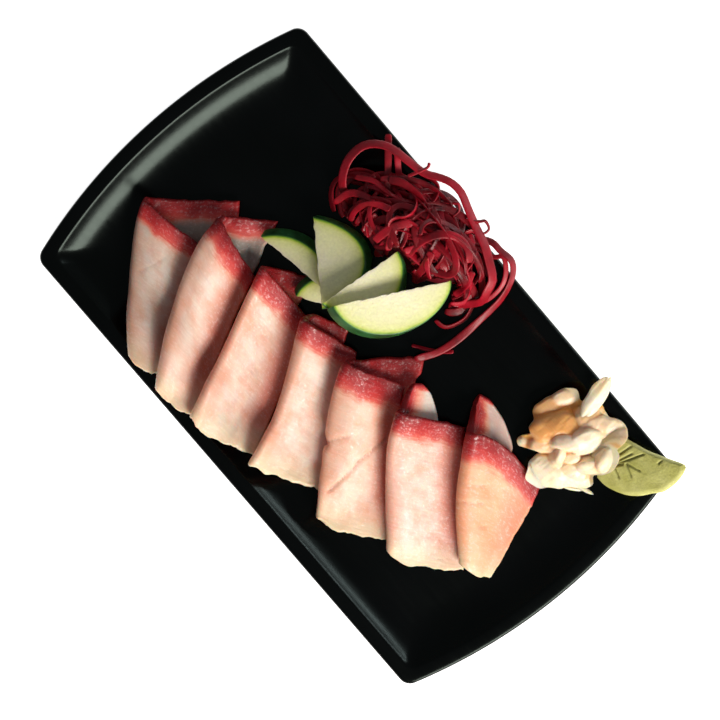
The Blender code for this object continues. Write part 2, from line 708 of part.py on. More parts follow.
def make_wasabi(ground):
    """Leaf moulded from wasabi, with a pressed rib, leaning on the plate's corner."""
    along = np.subtract(WASABI_TIP, WASABI_BUTT)
    length = np.hypot(*along)
    u, v = np.meshgrid(np.linspace(0, 1, WASABI_COLUMNS), np.linspace(-1, 1, WASABI_ROWS),
                       indexing="ij")
    breadth = WASABI_WIDTH / 2 * np.sin(np.pi * np.clip(0.27 + 0.73 * u, 0, 0.985)) ** 0.75
    x = -length * (1 - u)
    y = v * breadth + 3.0 * np.sin(np.pi * u)
    crown = 1 - np.abs(v) ** 3
    groove = 0.9 * np.exp(-(v / 0.12) ** 2) * (u < 0.8)
    z = WASABI_THICKNESS * 0.25 * crown * np.sqrt(breadth / breadth.max()) - groove
    half = WASABI_THICKNESS / 2 * (0.5 + 0.5 * crown) * (0.5 + 0.5 * breadth / breadth.max())
    points, triangles = thick_sheet(np.stack([x, y, z], -1), half)
    triangles = facing_out(points, triangles)
    heading = np.degrees(np.arctan2(along[1], along[0]))
    points = turned(points, heading, WASABI_PITCH, 0.0) + (*WASABI_TIP, 0)
    points = rested(points, triangles, ground)
    green = make_material("wasabi_paste", "b9bd63", 0.6, 0.1)
    make_object("wasabi_leaf", points, triangles.tolist(), green)
    ground.add(surface_points(points, triangles))


def main():
    for old in list(bpy.data.objects):
        bpy.data.objects.remove(old, do_unlink=True)
    make_plate()
    ground = Ground()
    make_slices(ground)
    core = mound(ground, BEET_CENTRE, BEET_RADII, BEET_TURN, BEET_HEIGHT,
                 BEET_SECTORS, BEET_RINGS)
    bare = Ground()
    bare.height = ground.height.copy()
    ground.add(surface_points(core[0], core[1]))
    footprint = make_cucumbers(ground)
    cover = Ground()
    cover.height[:] = 0.0
    cover.add(footprint * (1, 1, 0) + (0, 0, 1))
    make_beets(bare, core, cover.raised(3.0))
    make_wasabi(ground)
    make_ginger(ground)


main()
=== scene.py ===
# %% [markdown]
# # A plate of sashimi
#
# A black plate with bowed ends carries seven folded slices of raw yellowtail, five cucumber
# half-moons, a nest of beet ribbons, a heap of pickled ginger and a leaf of wasabi. The plain
# solids of all of these are already packed as a frame. This script lays the fine surfaces
# over them: each one is worked out with numpy as a function of two numbers on a grid.

from collections import namedtuple

import bpy
import numpy as np
from mathutils import Matrix


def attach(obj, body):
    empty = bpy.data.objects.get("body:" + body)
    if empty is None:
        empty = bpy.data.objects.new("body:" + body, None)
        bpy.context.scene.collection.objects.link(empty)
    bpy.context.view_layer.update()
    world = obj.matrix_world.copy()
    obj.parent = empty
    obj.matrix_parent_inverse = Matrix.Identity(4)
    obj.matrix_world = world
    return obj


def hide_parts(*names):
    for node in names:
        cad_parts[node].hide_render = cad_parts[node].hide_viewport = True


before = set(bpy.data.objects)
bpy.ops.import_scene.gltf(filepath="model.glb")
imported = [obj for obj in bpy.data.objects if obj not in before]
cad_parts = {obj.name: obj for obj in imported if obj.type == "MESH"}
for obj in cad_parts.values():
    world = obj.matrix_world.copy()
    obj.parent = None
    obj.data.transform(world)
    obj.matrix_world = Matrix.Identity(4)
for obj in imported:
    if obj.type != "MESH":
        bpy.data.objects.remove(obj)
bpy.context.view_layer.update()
MM = 0.001
print("packed nodes:", len(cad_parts))

# %% [markdown]
# Colours are easiest to read off as the hex digits of a picture, but a renderer adds light up
# and needs linear values. One function turns the first into the second. Another adds a shader
# node together with its settings and links, and the short ones after it name what the node
# does, so each material reads as a recipe.

# %% Colours and nodes


def linear(hex_colour):
    """Scene-linear RGBA of an sRGB colour: each channel through the sRGB curve."""
    srgb = np.array([int(hex_colour[i:i + 2], 16) for i in (0, 2, 4)]) / 255.0
    return (*np.where(srgb <= 0.04045, srgb / 12.92, ((srgb + 0.055) / 1.055) ** 2.4), 1.0)


def put(tree, node, inputs):
    """Set the node's input sockets, or link those whose value is another node's output."""
    for socket, value in inputs.items():
        if isinstance(value, bpy.types.NodeSocket):
            tree.links.new(value, node.inputs[socket])
        else:
            node.inputs[socket].default_value = value


def add(tree, kind, inputs, output=0, **settings):
    """Add a node, set its properties and its inputs, and give one of its outputs back."""
    node = tree.nodes.new("ShaderNode" + kind)
    for name, value in settings.items():
        setattr(node, name, value)
    put(tree, node, inputs)
    return node.outputs[output]


def ramp(tree, share, stops):
    """Colour ramp over share, through stops of a place and a hex colour."""
    colour = add(tree, "ValToRGB", {"Fac": share})
    elements = colour.node.color_ramp.elements
    for index, (place, hex_colour) in enumerate(stops):
        stop = elements[index] if index < len(elements) else elements.new(place)
        stop.position = place
        stop.color = linear(hex_colour)
    return colour


def measure(tree, name):
    """The number that a surface keeps for each point under that name."""
    return add(tree, "Attribute", {}, "Fac", attribute_name=name)


def spots(tree, place, size, detail=2.0, roughness=0.5):
    """Noise with lumps of that size, in the unit of place."""
    return add(tree, "TexNoise", {"Vector": place, "Scale": 1 / size, "Detail": detail,
                                  "Roughness": roughness})


def span(tree, value, low, high, to_low=0.0, to_high=1.0, curve="LINEAR"):
    """Value carried from low..high to to_low..to_high, and held beyond both ends."""
    return add(tree, "MapRange", {"Value": value, "From Min": low, "From Max": high,
                                  "To Min": to_low, "To Max": to_high}, interpolation_type=curve)


def calc(tree, operation, *values):
    """Math node over sockets and numbers."""
    return add(tree, "Math", dict(enumerate(values)), operation=operation)


def blend(tree, share, first, second):
    """First colour with a share of the second, which may be a hex colour."""
    second = linear(second) if isinstance(second, str) else second
    return add(tree, "Mix", {0: share, 6: first, 7: second}, 2, data_type="RGBA")


def shaded(tree, colour, value, low, high, dark, light):
    """Colour times a factor: dark where value is low, light where it is high."""
    factor = span(tree, value, low, high, dark, light)
    return add(tree, "VectorMath", {0: colour, "Scale": factor}, operation="SCALE")


def bumped(tree, height, distance, strength):
    """Normal pushed about by a height."""
    return add(tree, "Bump", {"Height": height, "Distance": distance, "Strength": strength})


def new_material(name):
    """Material with an empty Principled shader, and its node tree."""
    material = bpy.data.materials.new(name)
    material.use_nodes = True
    return material, material.node_tree


def object_place(tree):
    """Place on the object, in metres."""
    return add(tree, "TexCoord", {}, "Object")


def finished(material, inputs, scatter=None):
    """Material with its shader's inputs set; scatter is a weight, a colour and depth in mm."""
    if scatter:
        inputs = {**inputs, "Subsurface Weight": scatter[0], "Subsurface Radius": scatter[1],
                  "Subsurface Scale": scatter[2] * MM}
    put(material.node_tree, material.node_tree.nodes["Principled BSDF"], inputs)
    return material


# %% [markdown]
# Nothing grown is even, so most surfaces here are pushed about a little by smooth noise. Random
# values sit on the corners of a lattice, and a point gets the blend of its eight corners.

# %% Noise and easing


def ease(value):
    """0 below 0, 1 above 1, and 3t^2 - 2t^3 between."""
    share = np.clip(value, 0.0, 1.0)
    return share * share * (3.0 - 2.0 * share)


def noise(x, y, z, cell, seed):
    """Smooth noise from -1 to 1 with lumps of about that cell, in millimetres."""
    lattice = np.random.default_rng(seed).uniform(-1, 1, (32, 32, 32))
    place = np.stack(np.broadcast_arrays(x, y, z)).astype(float) / cell
    base = np.floor(place).astype(int)
    share = ease(place - base)
    total = np.zeros(place.shape[1:])
    for corner in np.ndindex(2, 2, 2):
        step = np.reshape(corner, (3,) + (1,) * (place.ndim - 1))
        weight = np.prod(np.where(step == 1, share, 1 - share), axis=0)
        total += weight * lattice[tuple((base + step) % 32)]
    return total


def unit(vectors):
    """Vectors scaled to length 1."""
    return vectors / np.maximum(np.linalg.norm(vectors, axis=-1, keepdims=True), 1e-9)


def direction(degrees):
    """Unit vector in the plate's plane at that angle from +X."""
    return np.array([np.cos(np.radians(degrees)), np.sin(np.radians(degrees))])


def along_line(x, y, start, end):
    """Way along a line from its start, way off it to the left, and the line's length."""
    line = np.subtract(end, start)
    length = np.hypot(*line)
    along = ((x - start[0]) * line[0] + (y - start[1]) * line[1]) / length
    off = ((x - start[0]) * -line[1] + (y - start[1]) * line[0]) / length
    return along, off, length


def dense_ends(low, high, count, pull=0.8):
    """Numbers from low to high that lie closer together near both ends."""
    share = np.linspace(0, 1, count)
    share = share - pull * np.sin(2 * np.pi * share) / (2 * np.pi)
    return low + (high - low) * share


# %% [markdown]
# A surface becomes an object in one place. Its points come in millimetres and its faces as
# arrays of corner numbers. Measures that a material needs, such as how far a point lies from
# the red edge of a slice, go into the mesh as attributes with one number for each point.

# %% From arrays to an object


def grid_quads(rows, columns, start=0, around=False):
    """Four corner numbers for each cell of a grid; around joins the last column to the first."""
    index = start + np.arange(rows * columns).reshape(rows, columns)
    if around:
        index = np.concatenate([index, index[:, :1]], 1)
    return np.stack([index[:-1, :-1], index[1:, :-1], index[1:, 1:], index[:-1, 1:]],
                    -1).reshape(-1, 4)


def sheet_faces(rows, columns):
    """Faces of a thick sheet: its upper grid, its lower grid turned over, and the rim."""
    count = rows * columns
    index = np.arange(count).reshape(rows, columns)
    rim = np.concatenate([index[:, 0], index[-1, 1:], index[-2::-1, -1], index[0, -2:0:-1]])
    after = np.roll(rim, -1)
    return np.concatenate([grid_quads(rows, columns),
                           grid_quads(rows, columns, count)[:, ::-1],
                           np.stack([rim, rim + count, after + count, after], 1)])


def normals(middle):
    """Unit normals of a grid of points."""
    return unit(np.cross(np.gradient(middle, axis=0), np.gradient(middle, axis=1)))


def thick_sheet(middle, normal, above, below):
    """Both faces of a sheet: middle + normal * above, then middle - normal * below."""
    return np.concatenate([(middle + normal * above[..., None]).reshape(-1, 3),
                           (middle - normal * below[..., None]).reshape(-1, 3)])


def volume(points, faces):
    """Signed volume inside the faces: six-sided slivers from the origin, added up."""
    total = 0.0
    for k in range(1, faces.shape[1] - 1):
        a, b, c = points[faces[:, 0]], points[faces[:, k]], points[faces[:, k + 1]]
        total += np.sum(a * np.cross(b, c)) / 6
    return total


def surface(name, points, faces, material, node, slot, **measures):
    """Object from points in millimetres, riding on the plate and standing for a frame node."""
    points = np.asarray(points, float).reshape(-1, 3)
    if volume(points, faces) < 0:
        faces = faces[:, ::-1]
    mesh = bpy.data.meshes.new(name)
    mesh.vertices.add(len(points))
    mesh.vertices.foreach_set("co", (points * MM).ravel())
    mesh.loops.add(faces.size)
    mesh.loops.foreach_set("vertex_index", faces.ravel().astype(np.int32))
    mesh.polygons.add(len(faces))
    mesh.polygons.foreach_set("loop_start", np.arange(len(faces), dtype=np.int32) * faces.shape[1])
    mesh.update(calc_edges=True)
    mesh.validate()
    mesh.shade_smooth()
    for measure, values in measures.items():
        layer = mesh.attributes.new(measure, "FLOAT", "POINT")
        layer.data.foreach_set("value", np.asarray(values, np.float32).ravel())
    mesh.materials.append(material)
    made = bpy.data.objects.new(name, mesh)
    bpy.context.scene.collection.objects.link(made)
    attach(made, "root")
    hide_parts(node)
    print(f"{name}: {len(points)} points, {len(faces)} faces")
    return made


# %% [markdown]
# ## The plate
#
# The plate is pressed from black melamine. Its long sides are straight, its ends are arcs of
# about 295 mm, and the lip runs all round at the same width. So the section from the foot,
# round the lip and down to the floor can be carried round one outline, pulled in by each
# point's inset.

# %% Outline and section of the plate
PLATE_LENGTH, PLATE_WIDTH = 313.6, 176.0
END_RADIUS, CORNER_RADIUS = 295.0, 6.5
RIM_HEIGHT, FLOOR_HEIGHT, EDGE_DROP = 20.0, 9.5, 2.4
LIP_WIDTH, WALL_FOOT, WALL_FOOT_HEIGHT, FLOOR_INSET = 7.0, 16.0, 14.0, 32.0
PLATE_THICKNESS, FOOT_INSET, FOOT_RECESS = 3.6, 33.0, 1.4
WALL_TOP_DROP, WALL_STEPS, WALL_POWER, SPINE_SHARE = 0.8, 17, 2.5, 0.45

# The wall is a hollow curve: height falls with a power of the way left to the floor
wall_inset = np.linspace(LIP_WIDTH + 1.0, FLOOR_INSET, WALL_STEPS)
wall_share = (FLOOR_INSET - wall_inset) / (FLOOR_INSET - LIP_WIDTH - 1.0)
wall_rise = (RIM_HEIGHT - WALL_TOP_DROP - FLOOR_HEIGHT) * wall_share ** WALL_POWER
wall = np.stack([wall_inset, FLOOR_HEIGHT + wall_rise], 1)
top_section = np.concatenate([
    [(0.0, RIM_HEIGHT - EDGE_DROP), (0.5, RIM_HEIGHT - 0.8), (1.7, RIM_HEIGHT),
     (LIP_WIDTH, RIM_HEIGHT - 0.2)], wall, [(FLOOR_INSET + 8, FLOOR_HEIGHT)]])
under_height = FLOOR_HEIGHT - PLATE_THICKNESS
foot_section = np.array([
    (FOOT_INSET + 7.0, FOOT_RECESS), (FOOT_INSET + 5.2, FOOT_RECESS),
    (FOOT_INSET + 4.2, 0.0), (FOOT_INSET + 0.8, 0.0), (FOOT_INSET - 1.2, under_height - 0.6),
    (FLOOR_INSET - 2.5, under_height), (WALL_FOOT + 7.0, under_height + 0.6),
    (WALL_FOOT, WALL_FOOT_HEIGHT - PLATE_THICKNESS), (LIP_WIDTH, RIM_HEIGHT - PLATE_THICKNESS - 0.5),
    (1.9, RIM_HEIGHT - PLATE_THICKNESS), (0.6, RIM_HEIGHT - EDGE_DROP - 1.1)])


def rounded(polyline, rounds):
    """Corner cutting: each pass keeps the quarter and three-quarter points of every side."""
    for _ in range(rounds):
        a, b = polyline[:-1], polyline[1:]
        cut = np.stack([0.75 * a + 0.25 * b, 0.25 * a + 0.75 * b], 1).reshape(-1, 2)
        polyline = np.concatenate([polyline[:1], cut, polyline[-1:]])
    return polyline


def outline(inset, end_steps=28, corner_steps=8, side_steps=10):
    """Closed outline pulled in by inset: bowed end, corner and side of a quarter, mirrored."""
    centre = PLATE_LENGTH / 2 - END_RADIUS
    radius = END_RADIUS - inset
    half_width = PLATE_WIDTH / 2 - inset
    corner_y = half_width - CORNER_RADIUS
    corner_x = centre + np.sqrt((radius - CORNER_RADIUS) ** 2 - corner_y ** 2)
    reach = np.arctan2(corner_y, corner_x - centre)
    end = np.linspace(0.0, reach, end_steps + 1)
    turn = np.linspace(reach, np.pi / 2, corner_steps + 1)[1:]
    side = np.linspace(corner_x, 0.0, side_steps + 1)[1:]
    x = np.concatenate([centre + radius * np.cos(end), corner_x + CORNER_RADIUS * np.cos(turn), side])
    y = np.concatenate([radius * np.sin(end), corner_y + CORNER_RADIUS * np.sin(turn),
                        np.full(side_steps, half_width)])
    half = np.concatenate([np.stack([x, y], 1), np.stack([-x, y], 1)[-2::-1]])
    return np.concatenate([half, (half * (1, -1))[-2:0:-1]])


section = rounded(np.concatenate([foot_section, top_section]), 2)
print("plate section:", len(section), "points round the lip")


# %% [markdown]
# The real glaze-like surface of melamine is nearly black, hard and a little waxy: a clear lobe of
# reflection with soft edges, faint waves from the press, and a haze of fine rubbing marks
# where other plates have stood on it. Only roughness and bump carry that, because the colour
# itself gives almost nothing back.

# %% Black melamine, pressed in a polished mould


def pressed_melamine():
    """Black melamine: IOR 1.5, waves 40 mm long, grain 0.8 mm, rubbing marks 3 mm apart."""
    material, tree = new_material("melamine_black_pressed")
    place = object_place(tree)
    waves = spots(tree, place, 40 * MM)
    grain = spots(tree, place, 0.8 * MM)
    stretched = add(tree, "Mapping", {"Vector": place, "Rotation": (0, 0, 0.5),
                                      "Scale": (30.0, 330.0, 330.0)})
    rubbing = spots(tree, stretched, 1.0, 4.0, 0.7)
    relief = calc(tree, "ADD", calc(tree, "MULTIPLY", waves, 12.0), grain)
    return finished(material, {
        "Base Color": ramp(tree, waves, [(0.3, "020202"), (0.7, "040405")]),
        "Normal": bumped(tree, relief, 0.02 * MM, 0.5),
        "Roughness": span(tree, rubbing, 0.35, 0.75, 0.19, 0.25),
        "Specular IOR Level": 0.16, "Specular Tint": linear("e6fff4")})


def make_plate():
    """Section carried round the outline, closed above and below in rings that shrink."""
    rings = np.stack([np.insert(outline(inset), 2, height, axis=1) for inset, height in section])
    shrink = np.array([0.75, 0.5, 0.25, 0.0])[:, None, None]

    def closing(ring, height):
        spine = ring * (SPINE_SHARE, 0, 0)
        return (spine + (ring * (1, 1, 0) - spine) * shrink) + (0, 0, height)

    stack = np.concatenate([closing(rings[0], FOOT_RECESS)[::-1], rings,
                            closing(rings[-1], FLOOR_HEIGHT)])
    return stack.reshape(-1, 3), grid_quads(len(stack), rings.shape[1], around=True)


plate_points, plate_faces = make_plate()
surface("melamine_plate", plate_points, plate_faces, pressed_melamine(), "plate", "plate")

# %% [markdown]
# ## What lies on what
#
# Every piece of food rests on the plate and on the pieces laid before it. A grid with a
# height every millimetre keeps the top of all that lies there so far. A soft slice is laid on
# a smoothed copy of it that nowhere dips below the real one, so nothing cuts into anything.

# %% A height map of the serving
# Reach of its smoothing under soft and under firm pieces, and the gap they keep, in mm
SOFT_REACH, HARD_REACH, REST_GAP = 3.0, 1.5, 0.4


def inset_at(x, y):
    """How far a point lies in from the plate's outline, eased at the corners."""
    from_end = END_RADIUS - np.hypot(np.abs(x) + END_RADIUS - PLATE_LENGTH / 2, y)
    from_side = PLATE_WIDTH / 2 - np.abs(y)
    easing = 1.17 * CORNER_RADIUS
    overlap = np.maximum(easing - np.abs(from_end - from_side), 0.0)
    return np.minimum(from_end, from_side) - overlap ** 2 / (4 * easing)


class Ground:
    """Heights of all that lies on the plate so far, on a grid of 1 mm."""

    def __init__(self):
        self.x = np.arange(-172.0, 173.0)
        self.y = np.arange(-112.0, 113.0)
        inset = inset_at(*np.meshgrid(self.x, self.y, indexing="ij"))
        self.height = np.where(inset < 0, 0.0, np.interp(inset, *top_section.T))

    def add(self, points):
        """Raise the grid to the points of a new piece."""
        points = np.asarray(points).reshape(-1, 3)
        column = np.rint(points[:, 0] - self.x[0]).astype(int)
        row = np.rint(points[:, 1] - self.y[0]).astype(int)
        np.maximum.at(self.height, (column, row), points[:, 2])

    def disc(self, reach):
        """Grid offsets inside a disc of that radius."""
        steps = range(-int(reach), int(reach) + 1)
        return [(i, j) for i in steps for j in steps if np.hypot(i, j) <= reach]

    def raised(self, reach):
        """Highest level within reach of each grid point."""
        return np.max([np.roll(self.height, step, (0, 1)) for step in self.disc(reach)], axis=0)

    def draped(self, reach):
        """Levels nowhere under the pieces: raised, then evened out twice over half the reach."""
        level = self.raised(reach)
        for _ in range(2):
            level = np.mean([np.roll(level, step, (0, 1)) for step in self.disc(reach / 2)], axis=0)
        return level

    def sample(self, level, x, y):
        """Level at any place, blended from its four grid points."""
        column = np.clip(x - self.x[0], 0, len(self.x) - 1.001)
        row = np.clip(y - self.y[0], 0, len(self.y) - 1.001)
        i, j = column.astype(int), row.astype(int)
        u, v = column - i, row - j
        near = level[i, j] * (1 - v) + level[i, j + 1] * v
        far = level[i + 1, j] * (1 - v) + level[i + 1, j + 1] * v
        return near * (1 - u) + far * u


ground = Ground()
print("height map:", ground.height.shape, "highest", round(float(ground.height.max()), 1), "mm")

# %% [markdown]
# ## Yellowtail
#
# Each slice is one sheet of flesh, folded along its length and laid over the edge of the one
# before. Its upper edge carries the dark blood line of the fillet, and its tail is pale and
# thin. Share a runs across the sheet, from the rear flap's free edge over the fold to the
# front flap's free edge, and share b runs from the red edge to the tail.

# %% The seven slices' measures
FLESH, TAIL_FLESH, FLAP_GAP = 3.8, 2.3, 0.5
TAIL_OPENING, OPENING_FALL = 0.4, 0.9
FOLD_SHARE, FRONT_HOLD, FRONT_BELLY, TAIL_ROUNDING = 0.34, 0.18, 0.17, 15.0
FOLD_SPREAD, FRONT_PULL, CORNER_SHARE, STEP_SHARE, REAR_STEP = 1.55, 1.7, 0.22, 0.085, 1.8
DRAPE_REACH, DRAPE_GAP, STEEPEST_LIFT, EDGE_ROUNDING = 8.0, 0.6, 1.25, 1.3
SLICE_COLUMNS, SLICE_ROWS, EVENING_ROUNDS, EVEN_FROM_FOLD = 121, 97, 60, 6.0
# Ledge of the flake that juts out over slice 5's fold: how far, and where it starts and ends
LEDGE, LEDGE_STARTS, LEDGE_ENDS = 2.0, (36, 8), (44, 1.6)

SliceForm = namedtuple("SliceForm", (
    "apex", "heading", "length", "tail", "bulge", "bulge_at", "opening",
    "front_slope", "front_curve", "front_width", "front_tail_width", "on_rear_flap",
    "rear_rise", "rear_slope", "rear_width", "rear_tail_width", "square"))
SLICES = (
    SliceForm((-130, -26), -47.0, 79, 7, -5.0, 0.38, 6.5,
              0.59, 0.0, 40, 16, True, 0, -0.08, 46, 12, True),
    SliceForm((-99, -3), -61.4, 90, 8, -6.3, 0.42, 4.5,
              0.71, 0.0, 32, 22, True, 0, -0.28, 27, 15, True),
    SliceForm((-67, -3), -66.0, 82, 7, 0.0, 0.50, 4.0,
              0.45, 0.0, 32, 37, True, 0, -0.18, 26, 26, True),
    SliceForm((-35, -4), -60.8, 78, 3, 3.5, 0.62, 3.5,
              0.27, 0.0, 31, 42, True, 3, 0.10, 24, 32, True),
    SliceForm((-4, -2), -51.7, 81, 6, -3.5, 0.28, 3.5,
              0.22, 0.0, 34, 40, True, 0, -0.23, 38, 30, True),
    SliceForm((32, 2), -45.6, 71, 9, -4.0, 0.30, 4.0,
              0.17, 0.0, 37, 40, True, 14, -0.02, 21, 29, False),
    SliceForm((61, 21), -43.0, 67, 9, -3.0, 0.50, 5.0,
              0.05, 0.0155, 42, 17, False, 20, 0.45, 25, 8, False))
print("slices:", len(SLICES))

# %% [markdown]
# The knife left a few cuts, and the muscle gapes where its flakes part. Each of these is a
# line on the sheet, given by both ends as millimetres sideways and down, with a depth.

# %% Cuts and gaps in the flesh
CRACK_WIDTH, CRACK_ENDS = 0.55, 4
# Slice number, both ends as (sideways, down), and the depth
CRACKS = (
    (5, (31, 33), (4, 68), 1.4), (5, (-1, 44), (14, 35), 0.8),
    (7, (-3, 26.7), (16, 27.4), 0.5), (7, (-2, 35.8), (15, 37.2), 0.6), (7, (8, 49), (17, 50), 0.5),
    (4, (-1, 33), (14, 35), 0.35), (3, (-1, 22), (12, 24), 0.35), (1, (3, 38), (20, 27), 0.35))
print("cuts:", len(CRACKS))


def crack_depth(number, sideways, down):
    """Depth of the cuts: for each one, its depth times a narrow bell across its line."""
    depth = np.zeros_like(down)
    wander = 0.8 * noise(sideways, down, 0, 6.0, 60 + number)
    for which, start, end, deepest in CRACKS:
        if which == number:
            along, off, length = along_line(sideways, down, start, end)
            bell = np.exp(-((off + wander) / CRACK_WIDTH) ** 2)
            inside = ease(along / CRACK_ENDS) * ease((length - along) / CRACK_ENDS)
            depth = np.maximum(depth, deepest * inside * bell)
    return depth


# %% [markdown]
# Now the sheet itself. Its plan comes first: how wide it is at each share b, where its edges
# run, and how it sways. Then it is laid on the height map, lifted over its own fold, evened
# out over the front, and given its thickness.

# %% A folded slice, laid on what is below
RAGGED_FRONT, RAGGED_REAR, RAGGED_EDGE, RAGGED_TAIL, NOTCHED_TAIL = 0.3, 0.5, 0.35, 0.9, 0.5
FLESH_WAVES, FLESH_FIBRES, CRACK_FULL = 0.22, 0.07, 1.2


def laid_slice(number, form):
    """Upper and lower surface of a folded slice, and the measures its material reads.

    Under the fold the sheet follows a quarter ellipse. Over it the height rises with the root
    of 1 - (1 - t)^3, which meets the crest without a kink, and sinks again by 3t^2 - 2t^3
    towards the free edge. The front is then evened by means of 1, 2 and 1 quarters along a.
    The rear flap lies on what is below, and the free edges are ragged and rounded off.
    """
    a, b = np.meshgrid(dense_ends(-1, 1, SLICE_COLUMNS), dense_ends(0, 1, SLICE_ROWS),
                       indexing="ij")
    front = a > 0
    bend = np.clip(a / FOLD_SHARE, -1, 1) * np.pi / 2
    flap = np.clip((np.abs(a) - FOLD_SHARE) / (1 - FOLD_SHARE), 0, 1)
    flesh = FLESH + (TAIL_FLESH - FLESH) * b
    stack = flesh + FLAP_GAP + TAIL_OPENING + form.opening * (1 - b) ** OPENING_FALL
    fold_start = (flesh + stack) / 2
    narrowing = form.front_tail_width - form.front_width
    front_width = (form.front_width + narrowing * b
                   + FRONT_BELLY * abs(narrowing) * np.sin(np.pi * b))
    past_corner = np.maximum(b - CORNER_SHARE, 0) / (1 - CORNER_SHARE)
    rear_width = form.rear_width + (form.rear_tail_width - form.rear_width) * past_corner
    if form.square:
        rear_width = rear_width - REAR_STEP * ease((b - STEP_SHARE) / 0.05)
    else:
        rear_width = rear_width * np.sqrt(1 - 0.8 * np.maximum(1 - b / 0.30, 0) ** 2)
    width = np.where(front, front_width, rear_width)
    ragged = noise(80 * b, 5 * np.sign(a), 0, 3.5, 20 + number)
    width = width + np.where(front, RAGGED_FRONT, RAGGED_REAR) * ragged
    front_share = np.maximum(a, 0) ** FRONT_PULL
    front_way = front_share * (width - flesh / 2)
    rear_way = np.where(flap > 0, fold_start + flap * (width - fold_start),
                        fold_start - stack / 2 * np.cos(bend))
    sideways = np.where(front, flesh / 2 + front_way, rear_way)
    front_edge = form.front_slope * sideways + form.front_curve * sideways ** 2
    rear_edge = form.rear_slope * sideways - form.rear_rise * ease(-bend / np.pi * 2)
    side = np.where(front, 9.0, -9.0)
    edge = np.where(front, front_edge, rear_edge)
    edge = edge + RAGGED_EDGE * noise(sideways, side, 0, 3.0, 30 + number)
    tail_edge = form.length + form.tail * (1 - (1 - np.minimum(sideways / TAIL_ROUNDING, 1)) ** 2)
    tail_edge = (tail_edge + RAGGED_TAIL * noise(sideways, side, 0, 5.0, 40 + number)
                 + NOTCHED_TAIL * noise(sideways, side, 0, 1.6, 50 + number))
    down = edge + b * (tail_edge - edge)
    skew = np.log(0.5) / np.log(form.bulge_at)
    arch = np.sin(np.pi * np.clip(down / form.length, 0, 1) ** skew)
    sway = form.bulge * arch * np.where(front, 1.0, 1 - flap)
    if number == 5:  # the flake that juts out over the fold
        ledge = LEDGE * ease((down - LEDGE_STARTS[0]) / LEDGE_STARTS[1])
        ledge = ledge * (1 - ease((down - LEDGE_ENDS[0]) / LEDGE_ENDS[1]))
        sway = sway + ledge * (1 - ease(np.abs(a) / FOLD_SHARE))
    plan = (np.array(form.apex) + down[..., None] * direction(form.heading)
            + (sideways + sway)[..., None] * direction(form.heading + 90))
    x, y = plan[..., 0], plan[..., 1]
    level = ground.draped(DRAPE_REACH)
    climb_x, climb_y = (ground.sample(level, x + i, y + j) - ground.sample(level, x - i, y - j)
                        for i, j in ((1, 0), (0, 1)))
    slope = np.hypot(1, np.hypot(climb_x, climb_y) / 2)
    rest = (flesh + FLAP_GAP) * form.on_rear_flap
    rise = np.sqrt(1 - (1 - np.clip(front_way / (FOLD_SPREAD * stack), 0, 1)) ** 3)
    sink = (stack - rest) * ease((front_share - FRONT_HOLD) / (1 - FRONT_HOLD))
    under = np.where(flap > 0, 0.0, stack / 2 * (1 + np.sin(bend)))
    lift = np.where(front, stack / 2 * (1 + rise) - sink, under)
    z = (ground.sample(level, x, y) + (flesh / 2 + lift) * np.minimum(slope, STEEPEST_LIFT)
         + DRAPE_GAP)
    evened = z.copy()
    for _ in range(EVENING_ROUNDS):
        evened[1:-1] = (evened[:-2] + 2 * evened[1:-1] + evened[2:]) / 4
    z = np.where(front, z + (evened - z) * ease(front_way / EVEN_FROM_FOLD), z)
    middle = np.stack([x, y, z], -1)

    rear_margin = (1 - flap) * (width - fold_start) + 9.0 * (flap <= 0)
    to_side = np.where(front, width - sideways, rear_margin)
    to_end = np.minimum(b, 1 - b) * (tail_edge - edge)
    near = np.clip(np.minimum(to_side, to_end) / EDGE_ROUNDING, 0, 1)
    half = flesh / 2 * np.sqrt(np.maximum(1 - (1 - near) ** 2, 0.004))
    normal = normals(middle)
    across = np.where(front, 1, -1) * sideways
    waves = FLESH_WAVES * noise(across, down, 0, 9.0, 70 + number)
    fibres = FLESH_FIBRES * noise(across * 0.2, down, 0, 0.9, 80 + number)
    cut = crack_depth(number, across, down)
    outer = half + (waves + fibres) * near - cut * (across > -4)
    inner = half + 0.5 * waves * near
    if np.mean(normal[SLICE_COLUMNS * 3 // 4, :, 2]) < 0:
        normal = -normal
    points = thick_sheet(middle, normal, outer, inner)
    margin = np.where(front, width - sideways, 99.0)
    measures = {"from_red": down - edge, "across": across, "from_tail": tail_edge - down,
                "margin": margin, "cut": np.clip(cut / CRACK_FULL, 0, 1)}
    return points, {key: np.tile(value.ravel(), 2) for key, value in measures.items()}


# %% [markdown]
# Raw yellowtail is wet, faintly see-through muscle. Light goes a few millimetres in and comes
# out warmer. The colour also has painted shade in it: peach along the rounded fold, deep pink
# on the margins in the next slice's shadow, and darker rear flaps. The blood line is dark red
# at the rim and fades through salmon pink in about a centimetre. The cut muscle is very finely
# grained, and its wet film breaks the highlights into sparks.

# %% Raw yellowtail, cut with a long knife
BAND_FADE = 1.6
# The warm colour is a random tone in the flesh and also the painted shade along the fold; the edge
# colour is painted shade on the margin in the next slice's shadow
FleshLook = namedtuple("FleshLook", "band rear_band fold_band pale warm edge rear")


